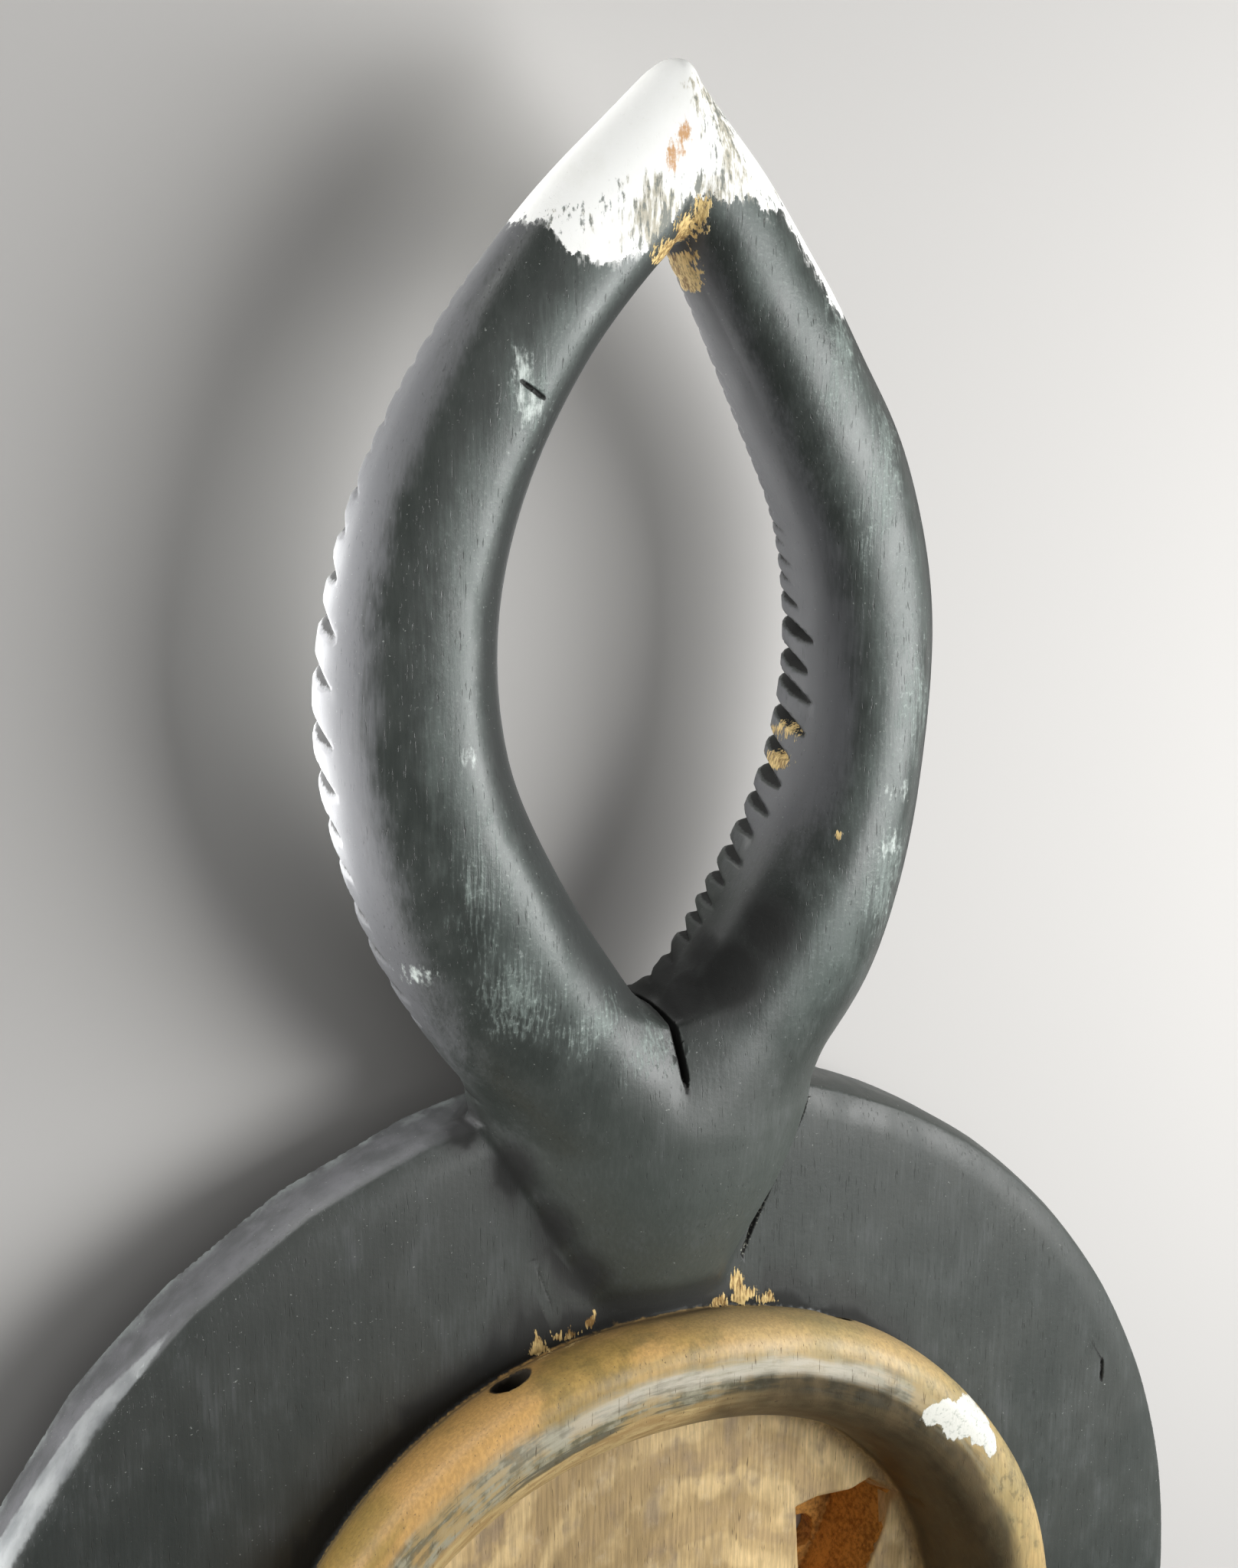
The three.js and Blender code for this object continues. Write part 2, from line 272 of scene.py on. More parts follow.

# Where the paint is paler along a horn's back: partly rubbed through, partly painted highlight
WORN_AND_LIT = [
    (44, 405, 24, 9, 22, 12),
    (60, 374, 24, 8, 24, 12),
    (71, 312, 26, 9, 24, 12),
    (62, 262, 26, 12, 20, 12),
    (-45, 244, 26, 14, 14, 12),
    (-26, 233, 26, 16, 9, 12),
    (-9, 222, 24, 13, 9, 12),
    (-57, 275, 26, 9, 22, 12),
    (-42, 396, 24, 7, 14, 12),
]
# Spots of painted shade: darkness painted beside the stem's left and in the horns' fork, where shadow falls
SHADE_SPOTS = [
    (-17, 147, 6, 10, 16, 16),
    (-26, 164, 6, 9, 15, 16),
    (-38, 183, 4, 9, 15, 15),
    (-50, 198, -1, 8, 9, 12),
    (8, 234, -4, 17, 20, 22),
    (12, 224, 12, 9, 16, 12),
    (19, 236, 8, 12, 20, 14),
    (9, 231, 14, 15, 15, 14),
    (20, 238, 20, 17, 17, 14),
    (33, 249, 20, 14, 19, 12),
]

# Each kind of spot by its name in the finish
SPOTS = {
    "raw": RAW_WOOD, "rust": RUST, "scuff": SCUFFS, "chip": WHITE_CHIP,
    "stain": STAINS, "worn_and_lit": WORN_AND_LIT, "shade_spot": SHADE_SPOTS, "pit": PITS,
}

# How far out the finish feels for wood, and what each reach counts for in a hollow, where the finish paints
# shade
FEELERS = ((2.5, 0.35), (8, 0.35), (20, 0.3))
WEAR_REACH = 4

# Arched growth lines on the cavity's floor
ARCH_MIDDLE = (33, -59, 0)
ARCH_SCALE = (1 / 64, 1 / 115, 0)
ARCH_TURNS = 30

# Lowest corner of the carving
CARVING_LOW = (-205, -205, -45.5)

# Unevenness left by the knife: (height, length of its waves, seed)
UNEVEN = {
    "back": (0.3, 48, 1),
    "horn": (0.45, 34, 3),
    "edge": (0.2, 90, 11),
    "rim": (0.5, 70, 12),
    "crest": (0.5, 60, 13),
    "wall": (0.5, 45, 14),
    "floor": (0.35, 26, 15),
}

# Fineness of the mesh, and the box that it is worked out in
STEP = 1.25
BLOCK = 8
BLOCKS_AT_ONCE = 256
GRID_LOW = (-DISC_RADIUS - 6, -DISC_RADIUS - 6, -DISC_THICKNESS - FACE_RELIEF - 6)
GRID_HIGH = (DISC_RADIUS + 6, HORN_END + 8, 40)
SURFACE_MARGIN = 4
HALF_DIAGONAL = 0.87
BLOCK_FILL = 50
FAR_OFF = 60.0
MOST_TRIANGLES = 126000
POINTS_AT_ONCE = 120000
SEED = 7
SEED_STEPS = (7.3, 3.1, 5.7)

DEGREES = 180 / np.pi


def soft_min(a, b, k):
    """The smaller of two fields, with their corner filled in over a width k."""
    share = np.clip(0.5 + 0.5 * (b - a) / k, 0, 1)
    return b + (a - b) * share - k * share * (1 - share)


def soft_max(a, b, k):
    return -soft_min(-a, -b, k)


def between(pair, share):
    first, second = pair
    return first + (second - first) * share


def smooth_step(low, high, x):
    share = np.clip((x - low) / (high - low), 0, 1)
    return share * share * (3 - 2 * share)


def oval(x, y, half_width, half_length, squareness):
    """Distance to a squared oval, along the ray from its middle."""
    reach = np.hypot(x, y) + 1e-6
    norm = (np.abs(x / half_width) ** squareness + np.abs(y / half_length) ** squareness) ** (1 / squareness)
    return reach - reach / norm


def slab(across, height, low, high, rounding):
    """An outline, given as a distance, stood between two heights, with rounded edges."""
    q = across + rounding
    h = np.abs(height - (low + high) / 2) - (high - low) / 2 + rounding
    return np.hypot(np.maximum(q, 0), np.maximum(h, 0)) + np.minimum(np.maximum(q, h), 0) - rounding


def uneven(kind, x, y, z, more=0, terms=7):
    """A smooth wandering value, with the height and length that UNEVEN gives a kind of face."""
    size, length, seed = UNEVEN[kind]
    rng = np.random.default_rng(SEED + seed + more)
    total = np.zeros_like(x)
    for _ in range(terms):
        way = rng.normal(size=3)
        way *= 2 * np.pi * rng.uniform(0.7, 1.4) / (length * np.linalg.norm(way))
        total += np.sin(way[0] * x + way[1] * y + way[2] * z + rng.uniform(0, 2 * np.pi))
    return size * (total / np.sqrt(2 * terms))


def polyline(x, y, points):
    """Distance in plan to a chain of points, and the share of the way along it."""
    points = np.asarray(points, float)
    best = np.full(x.shape, np.inf)
    share = np.zeros(x.shape)
    for i in range(len(points) - 1):
        start, run = points[i], points[i + 1] - points[i]
        t = np.clip(((x - start[0]) * run[0] + (y - start[1]) * run[1]) / (run @ run), 0, 1)
        off = np.hypot(x - start[0] - t * run[0], y - start[1] - t * run[1])
        nearer = off < best
        best = np.where(nearer, off, best)
        share = np.where(nearer, (i + t) / (len(points) - 1), share)
    return best, share


def polygon(x, y, points):
    """Signed distance to a closed outline."""
    off, _ = polyline(x, y, np.vstack([points, points[:1]]))
    inside = np.zeros(x.shape, bool)
    for (ax, ay), (bx, by) in zip(points, np.roll(points, -1, axis=0)):
        crosses = (ay > y) != (by > y)
        rise = by - ay if by != ay else 1
        inside ^= crosses & (x < ax + (y - ay) * (bx - ax) / rise)
    return np.where(inside, -off, off)


def along(knots, t):
    """A smooth value between knots at even steps of t from 0 to 1, and straight on past them."""
    knots = np.asarray(knots, float)
    slopes = np.gradient(knots)
    place = t * (len(knots) - 1)
    index = np.clip(np.floor(place).astype(int), 0, len(knots) - 2)
    part = np.clip(place - index, 0, 1)
    value = (
        (2 * part ** 3 - 3 * part ** 2 + 1) * knots[index]
        + (part ** 3 - 2 * part ** 2 + part) * slopes[index]
        + (3 * part ** 2 - 2 * part ** 3) * knots[index + 1]
        + (part ** 3 - part ** 2) * slopes[index + 1]
    )
    return value + (place - index - part) * np.where(place < 1, slopes[0], slopes[-1])


class Horn:
    """One horn's middle line as tables over Y, and the field of distances round it."""

    def __init__(self, side, reach, half_width, places, pitch, depth, cut_reach, ridge, worn_and_lit_line):
        share = np.linspace(*HORN_TABLE)
        self.side = side
        self.ridge = ridge
        self.worn_and_lit_line = worn_and_lit_line
        self.y = HORN_BASE + (HORN_TIP - HORN_BASE) * share
        self.x = side * along(reach, share)
        self.slope = np.gradient(self.x, self.y)
        self.lift = along(HORN_LIFT, share)
        self.half_width = along(half_width, share)
        self.half_depth = along(HORN_HALF_DEPTH, share)
        run = np.hypot(np.diff(self.x), np.diff(self.y))
        self.arc = np.concatenate([[0], np.cumsum(run)])
        first, last = np.interp(NOTCH_SHARES, share, self.arc)
        rng = np.random.default_rng(SEED + 20 + side)
        cuts = [first]
        while cuts[-1] < last:
            way = (cuts[-1] - first) / (last - first)
            cuts.append(cuts[-1] + np.interp(way, places, pitch) * rng.uniform(*PITCH_SPREAD))
        self.cuts = np.array(cuts)
        way = (self.cuts - first) / (last - first)
        depth, pitch, reach = (np.interp(way, places, column) for column in (depth, pitch, cut_reach))
        self.cut_depth = depth * rng.uniform(*DEPTH_SPREAD, len(cuts))
        self.cut_width = NOTCH_WIDTH * pitch * rng.uniform(*WIDTH_SPREAD, len(cuts))
        self.cut_reach = reach + rng.uniform(*REACH_SPREAD, len(cuts))

    def near(self, x, y):
        """The Y of the nearest point of the middle line."""
        place = y
        for _ in range(4):
            place = y + (x - np.interp(place, self.y, self.x)) * np.interp(place, self.y, self.slope)
            place = np.clip(place, self.y[0], self.y[-1])
        return place

    def section(self, x, y, z):
        """Place along the line, out from it, and above it, with the section's half sizes."""
        place = self.near(x, y)
        slope = np.interp(place, self.y, self.slope)
        across = self.side * ((x - np.interp(place, self.y, self.x)) - (y - place) * slope)
        out = across / np.sqrt(1 + slope ** 2)
        up = z - np.interp(place, self.y, self.lift)
        half_width = np.interp(place, self.y, self.half_width)
        half_depth = np.interp(place, self.y, self.half_depth)
        return place, out, up, half_width, half_depth

    def notches(self, place, up, half_depth):
        arc = np.interp(place, self.y, self.arc) + NOTCH_LEAN * (up + half_depth)
        index = np.searchsorted((self.cuts[1:] + self.cuts[:-1]) / 2, arc)
        off = np.abs(arc - self.cuts[index])
        reach = np.clip((-self.cut_reach[index] - up / half_depth) / 0.5, 0, 1) ** 0.6
        width = self.cut_width[index] * (0.25 + 0.75 * reach)
        return self.cut_depth[index] * reach * np.clip(1 - off / width, 0, 1)

    def field(self, x, y, z):
        place, out, up, half_width, half_depth = self.section(x, y, z)
        out = out + self.ridge * half_width
        half_width = half_width * (1 + self.ridge * np.sign(out))
        body = oval(out, up, half_width, half_depth, np.where(up < 0, *HORN_SQUARENESS))
        body += uneven("horn", x, 0.45 * y, z, self.side)
        start, end, swell = TIP_SWELL
        body -= swell * smooth_step(start, end, y)
        return body + self.notches(place, up, half_depth)


def disc(x, y, z):
    """The round face, its outline cut with a knife in short straight facets."""
    radius = np.hypot(x, y)
    angle = np.degrees(np.arctan2(y, x))
    step = FACET_STEP
    off = (angle / step - np.floor(angle / step) - 0.5) * step
    chord = DISC_RADIUS * (1 - np.cos(np.radians(step / 2)) / np.cos(np.radians(off)))
    turn = np.where(angle < 0, angle + 360, angle)
    knifed = smooth_step(*KNIFED_RISE, angle) * smooth_step(*KNIFED_FALL, turn)
    edge = DISC_RADIUS - between(FACET_SHARE, knifed) * chord - DISC_TRIM - uneven("edge", x, y, 0 * z)
    start, fall = BACK_FALL
    top = -fall * np.clip((radius - start) / (DISC_RADIUS - start), 0, 1) ** 2
    body = slab(radius - edge, z - top, -DISC_THICKNESS, 0, DISC_ROUNDING)
    lower = smooth_step(CHAMFER_FROM, CHAMFER_FROM + 4, np.abs(angle))
    slope = (radius - edge + z + between(CHAMFER, lower)) / np.sqrt(2)
    body = soft_max(body, slope, between(CHAMFER_ROUNDING, lower))
    border = DISC_RADIUS - BORDER_WIDTH
    front = -DISC_THICKNESS + BORDER_HEIGHT * np.clip((border - radius) / BORDER_HEIGHT, 0, 1)
    return np.maximum(body, front - z)


def rim(x, y, z):
    x, y = x - RIM_CENTRE[0], y - RIM_CENTRE[1]
    bulge = RIM_BULGE * (1 - ((z - RIM_BULGE_HEIGHT) / RIM_BULGE_HEIGHT) ** 2)
    wall = oval(x, y, RIM_FOOT[0] + bulge, RIM_FOOT[1] + bulge, RIM_SQUARENESS) + uneven("rim", x, y, z)
    crest = oval(x, y, *CREST_OVAL, RIM_SQUARENESS)
    top = RIM_CREST - CREST_FALL * crest ** 2 + uneven("crest", x, y, 0 * z)
    return soft_max(wall, z - top, CREST_ROUNDING)


def cavity(x, y, z):
    x, y = x - RIM_CENTRE[0], y - RIM_CENTRE[1]
    half_width, half_length = (
        foot + lean * z + flare * z * z
        for foot, lean, flare in zip(CAVITY_FOOT, CAVITY_LEAN, CAVITY_FLARE)
    )
    wall = oval(x, y, half_width, half_length, RIM_SQUARENESS) + uneven("wall", x, y, z)
    floor = CAVITY_FLOOR - z + uneven("floor", x, 0.6 * y, 0 * z)
    return soft_max(wall, floor, CAVITY_ROUNDING)


def stem(x, y, z):
    """Half ovals that stand on the back, with a softer fall on the left than on the right."""
    share = np.interp(y, STEM[:, 0], np.arange(len(STEM))) / (len(STEM) - 1)
    left, right, height = (along(STEM[:, column], share) for column in (1, 2, 3))
    middle, half_width = (left + right) / 2, (right - left) / 2
    squareness = np.where(x < middle, *STEM_SQUARENESS)
    half_height = np.where(z > -STEM_DEPTH, height + STEM_DEPTH, STEM_UNDERSIDE)
    body = oval(x - middle, z + STEM_DEPTH, half_width, half_height, squareness)
    return soft_max(body, np.maximum(STEM[0, 0] - y, y - STEM[-1, 0]), 2)


right_horn = Horn(1, **RIGHT_HORN)
left_horn = Horn(-1, **LEFT_HORN)


def both_horns(x, y, z):
    share = smooth_step(-HORN_MEETING, HORN_MEETING, x - HORN_MIDDLE)
    right, left = np.full(x.shape, FAR_OFF), np.full(x.shape, FAR_OFF)
    on_right, on_left = share > 0, share < 1
    right[on_right] = right_horn.field(x[on_right], y[on_right], z[on_right])
    left[on_left] = left_horn.field(x[on_left], y[on_left], z[on_left])
    body = np.maximum(between((left, right), share), HORN_BASE - y)
    return soft_max(body, y - HORN_END, HORN_END_ROUNDING)


def cord_holes(x, y, z):
    """Round holes square to the rim's wall."""
    best = np.full(x.shape, FAR_OFF)
    for degrees in CORD_HOLE_ANGLES:
        angle = np.radians(degrees)
        way = np.array([np.cos(angle), np.sin(angle)])
        dx = x - RIM_CENTRE[0] - (RIM_FOOT[0] + RIM_BULGE) * way[0]
        dy = y - RIM_CENTRE[1] - (RIM_FOOT[1] + RIM_BULGE) * way[1]
        run = dx * way[0] + dy * way[1]
        tube = np.hypot(dy * way[0] - dx * way[1], z - CORD_HOLE_HEIGHT) - CORD_HOLE_RADIUS
        best = np.minimum(best, np.maximum(tube, np.abs(run) - CORD_HOLE_REACH))
    return best


def drop(x, y, radius, point_radius, rise):
    """Signed distance to a drop: a round lower end drawn out to a point."""
    x = np.abs(x)
    lean = (radius - point_radius) / rise
    flat = np.sqrt(1 - lean * lean)
    k = y * flat - x * lean
    low = np.hypot(x, y) - radius
    high = np.hypot(x, y - rise) - point_radius
    side = x * flat + y * lean - radius
    return np.where(k < 0, low, np.where(k > flat * rise, high, side))


def from_mouth(x, y, size):
    """How far out a point lies from a box round the mouth's middle, along X and along Y."""
    return np.abs(x - FACE_MIDDLE) - size[0] / 2, np.abs(y - MOUTH_HEIGHT) - size[1] / 2


def face(x, y, z):
    """The eyes and the mouth, which stand out of the front."""
    front = -DISC_THICKNESS - FACE_RELIEF
    root = -DISC_THICKNESS + BORDER_HEIGHT + 3
    best = np.full(x.shape, FAR_OFF)
    for side in (1, -1):
        dx = x - FACE_MIDDLE - side * EYE_SPREAD
        outline = drop(dx, y - EYE_HEIGHT, EYE_RADIUS, EYE_POINT_RADIUS, EYE_RISE)
        best = np.minimum(best, slab(outline, z, front, root, FEATURE_ROUNDING))
    block = np.maximum(*from_mouth(x, y, MOUTH_SIZE))
    mouth = slab(block, z, front, root, FEATURE_ROUNDING)
    over_x, over_y = from_mouth(x, y, MOUTH_RECESS)
    recess = np.maximum(np.maximum(over_x, over_y), z - front - MOUTH_RECESS[2])
    mouth = soft_max(mouth, -recess, RECESS_ROUNDING)
    pitch = MOUTH_RECESS[0] / TOOTH_COUNT
    place = (x - FACE_MIDDLE) / pitch
    tooth = np.abs(place - np.floor(place) - 0.5) * pitch
    teeth = np.maximum(tooth - (pitch - TOOTH_GAP) / 2, np.maximum(over_x, over_y - 1))
    teeth = slab(teeth, z, front + TOOTH_SINK, root, TOOTH_ROUNDING)
    return np.minimum(best, np.minimum(mouth, teeth))


def eye_hollows(x, y, z):
    best = np.full(x.shape, FAR_OFF)
    depth = np.clip((CAVITY_FLOOR - z) / EYE_HOLLOW_DEPTH, -0.5, 1)
    scale = 1 - (1 - EYE_HOLLOW_TAPER) * depth
    for side in (1, -1):
        dx = side * (x - FACE_MIDDLE) - EYE_SPREAD
        dy = y - EYE_HEIGHT
        sight = np.hypot(dx, dy) - SIGHT_HOLE_RADIUS
        hollow = polygon(dx / scale, dy / scale, EYE_HOLLOW) * scale
        hollow = np.maximum(hollow, CAVITY_FLOOR - EYE_HOLLOW_DEPTH - z)
        sight = np.maximum(sight, z - CAVITY_FLOOR)
        best = np.minimum(best, np.minimum(hollow, sight))
    return best


def crack(x, y, points, half_width, depth):
    off, share = polyline(x, y, points)
    ends = np.clip(6 * np.minimum(share, 1 - share), 0, 1) ** 0.5
    return depth * ends * (1 - smooth_step(0, 1, off / (half_width * np.maximum(ends, 0.2))))


def horn_blend(y):
    return 0.3 + STEM_BLEND * smooth_step(HORN_BASE, HORN_BASE + 30, y)


def carving(x, y, z):
    """The whole mask's field. Each form is worked out only for the points near it."""
    d = disc(x, y, z) + uneven("back", x, 0.5 * y, z)

    def change(how, low, high):
        here = np.ones(x.shape, bool)
        for value, least, most in zip((x, y, z), low, high):
            here &= (value > least) & (value < most)
        if here.any():
            d[here] = how(d[here], x[here], y[here], z[here])

    def join(form, low, high, blend):
        change(lambda d, *at: soft_min(d, form(*at), blend(at[1]) if callable(blend) else blend), low, high)

    def cut(form, low, high, blend):
        change(lambda d, *at: soft_max(d, -form(*at), blend), low, high)

    def mark(line, low, high):
        change(lambda d, x, y, z: d + np.clip((high[2] - z) / 5, 0, 1) * crack(x, y, *line), low, high)

    far = 300
    join(rim, (-far, -far, -8), (far, 160, far), 2)
    join(stem, (-far, 100, -26), (far, 235, far), 3)
    join(both_horns, (-far, 160, -far), (far, 520, far), horn_blend)
    cut(cavity, (-far, -far, -20), (far, 160, far), CREST_ROUNDING)
    join(face, (-far, -140, -far), (far, 140, 0), 1.5)
    cut(eye_hollows, (-120, -30, -far), (140, 90, 5), 1.2)
    cut(cord_holes, (-200, -200, -5), (200, 200, 25), 1.2)
    for line in CRACKS:
        mark(line, (-100, 60, -6), (200, 230, CRACKS_TOP))
    mark(NICK, (-70, 370, 10), (-20, 420, HORNS_TOP))
    mark(SLIT, (-20, 200, -30), (20, 245, HORNS_TOP))
    return d


def sampled(points):
    """The field at a list of points, a handful at a time so that it stays in fast memory."""
    values = np.empty(len(points))
    for start in range(0, len(points), POINTS_AT_ONCE):
        part = points[start:start + POINTS_AT_ONCE]
        values[start:start + len(part)] = carving(part[:, 0].copy(), part[:, 1].copy(), part[:, 2].copy())
    return values


def gradient(points, h=0.4):
    way = np.empty_like(points)
    for axis in range(3):
        step = np.zeros(3)
        step[axis] = h
        way[:, axis] = sampled(points + step) - sampled(points - step)
    return way / (2 * h)


def field_grid():
    """Values of the field on a grid, worked out finely only in the blocks near the surface."""
    low, high = np.array(GRID_LOW), np.array(GRID_HIGH)
    blocks = np.ceil((high - low) / (STEP * BLOCK)).astype(int)
    places = np.stack(np.meshgrid(*[np.arange(n) for n in blocks], indexing="ij"), -1).reshape(-1, 3)
    middle = low + (places * BLOCK + (BLOCK - 1) / 2) * STEP
    coarse = sampled(middle)
    near = np.abs(coarse) < BLOCK * STEP * HALF_DIAGONAL + SURFACE_MARGIN
    values = np.empty((len(places), BLOCK ** 3), np.float32)
    values[:] = np.sign(coarse)[:, None] * BLOCK_FILL
    inner = np.stack(np.meshgrid(*[np.arange(BLOCK)] * 3, indexing="ij"), -1).reshape(-1, 3)
    chosen = np.flatnonzero(near)
    for start in range(0, len(chosen), BLOCKS_AT_ONCE):
        some = chosen[start:start + BLOCKS_AT_ONCE]
        points = low + (places[some][:, None] * BLOCK + inner[None]) * STEP
        values[some] = sampled(points.reshape(-1, 3)).reshape(len(some), -1)
    values = values.reshape(*blocks, BLOCK, BLOCK, BLOCK).transpose(0, 3, 1, 4, 2, 5)
    return values.reshape(blocks * BLOCK), low


def surface_net(values, low):
    """One vertex in each cell that the surface passes through, and one quad on each crossed edge."""
    inside = values < 0
    size = np.array(values.shape) - 1
    corners = [np.array(c) for c in np.ndindex(2, 2, 2)]
    part = [inside[c[0]:c[0] + size[0], c[1]:c[1] + size[1], c[2]:c[2] + size[2]] for c in corners]
    mixed = np.logical_or.reduce(part) & ~np.logical_and.reduce(part)
    cells = np.argwhere(mixed)
    index = np.full(mixed.shape, -1, np.int32)
    index[mixed] = np.arange(len(cells))
    total = np.zeros((len(cells), 3))
    count = np.zeros(len(cells))
    for a in corners:
        for axis in range(3):
            if a[axis]:
                continue
            b = a.copy()
            b[axis] = 1
            va = values[tuple((cells + a).T)]
            vb = values[tuple((cells + b).T)]
            crossed = (va < 0) != (vb < 0)
            share = np.where(crossed, va / np.where(crossed, va - vb, 1), 0)
            point = cells + a + share[:, None] * (b - a)
            total += np.where(crossed[:, None], point, 0)
            count += crossed
    points = low + total / count[:, None] * STEP
    quads = []
    for axis in range(3):
        one, two = (axis + 1) % 3, (axis + 2) % 3
        first = [slice(1, -1)] * 3
        second = [slice(1, -1)] * 3
        first[axis] = slice(0, -1)
        second[axis] = slice(1, None)
        a, b = inside[tuple(first)], inside[tuple(second)]
        places = np.argwhere(a != b)
        outward = a[tuple(places.T)]
        places += [0 if i == axis else 1 for i in range(3)]
        ring = []
        for shift_one, shift_two in ((-1, -1), (0, -1), (0, 0), (-1, 0)):
            cell = places.copy()
            cell[:, one] += shift_one
            cell[:, two] += shift_two
            ring.append(index[tuple(cell.T)])
        ring = np.stack(ring, -1)
        ring[~outward] = ring[~outward][:, ::-1]
        quads.append(ring)
    return points, np.concatenate(quads)


def settled(points, rounds=2, most=1.0):
    """Moves points onto the surface, along the field's slope."""
    for _ in range(rounds):
        way = gradient(points)
        value = sampled(points)
        move = value / np.maximum((way ** 2).sum(1), 0.3)
        points = points - way * np.clip(move, -most, most)[:, None]
    return points


def linked(name, data):
    """A new object in the scene."""
    piece = bpy.data.objects.new(name, data)
    bpy.context.scene.collection.objects.link(piece)
    return piece


def lighter(mesh, most):
    """The same surface with fewer triangles where it is flat."""
    piece = linked("rough", mesh)
    thin = piece.modifiers.new("fewer", "DECIMATE")
    thin.ratio = most / (2 * len(mesh.polygons))
    thin.use_collapse_triangulate = True
    shape = piece.evaluated_get(bpy.context.evaluated_depsgraph_get())
    result = bpy.data.meshes.new_from_object(shape)
    bpy.data.objects.remove(piece)
    bpy.data.meshes.remove(mesh)
    return result


def finer(mesh, near, shortest):
    """Cuts in two each edge that is longer than shortest and lies where near says so."""
    shape = bmesh.new()
    shape.from_mesh(mesh)
    points = np.array([vertex.co for vertex in shape.verts])
    chosen = near(points)
    edges = [
        edge for edge in shape.edges
        if chosen[edge.verts[0].index] and chosen[edge.verts[1].index] and edge.calc_length() > shortest
    ]
    bmesh.ops.subdivide_edges(shape, edges=edges, cuts=1, use_grid_fill=False)
    bmesh.ops.triangulate(shape, faces=[face for face in shape.faces if len(face.verts) > 3])
    shape.to_mesh(mesh)
    shape.free()


def by_fine_marks(points):
    """Which points lie beside a crack, the nick or the slit."""
    x, y, z = points.T
    near = np.zeros(len(points), bool)
    for line, half_width, _, top in FINE_MARKS:
        off, _ = polyline(x, y, line)
        near |= (off < half_width + 1.2) & (z > -4) & (z < top)
    return near


def by_spots(margin):
    """Which points lie within a margin of a small spot of the finish."""
    spots = np.array(RAW_WOOD + RUST + SCUFFS + WHITE_CHIP)
    spots[:, 3:] += margin
    return lambda points: nearness(points, spots) > 0


def horn_sections(x, y, z, lowest):
    """Each horn with the points above a given Y that are its own, and its section there."""
    for horn, here in ((right_horn, x > HORN_MIDDLE), (left_horn, x <= HORN_MIDDLE)):
        here &= y > lowest
        yield horn, here, horn.section(x[here], y[here], z[here])


def by_notches(points):
    """Which points lie in a notch of a horn."""
    x, y, z = points.T
    near = np.zeros(len(points), bool)
    for horn, here, (place, _, up, _, half_depth) in horn_sections(x, y, z, 200):
        near[here] = horn.notches(place, up, half_depth) > 0
    return near


def nearness(points, spots):
    """How deep each point lies in the nearest of some ovoid spots: 1 in its middle, 0 at its edge."""
    best = np.full(len(points), -3.0)
    for spot in np.array(spots):
        off = np.linalg.norm((points - spot[:3]) / spot[3:], axis=1)
        best = np.maximum(best, 1 - off)
    return best


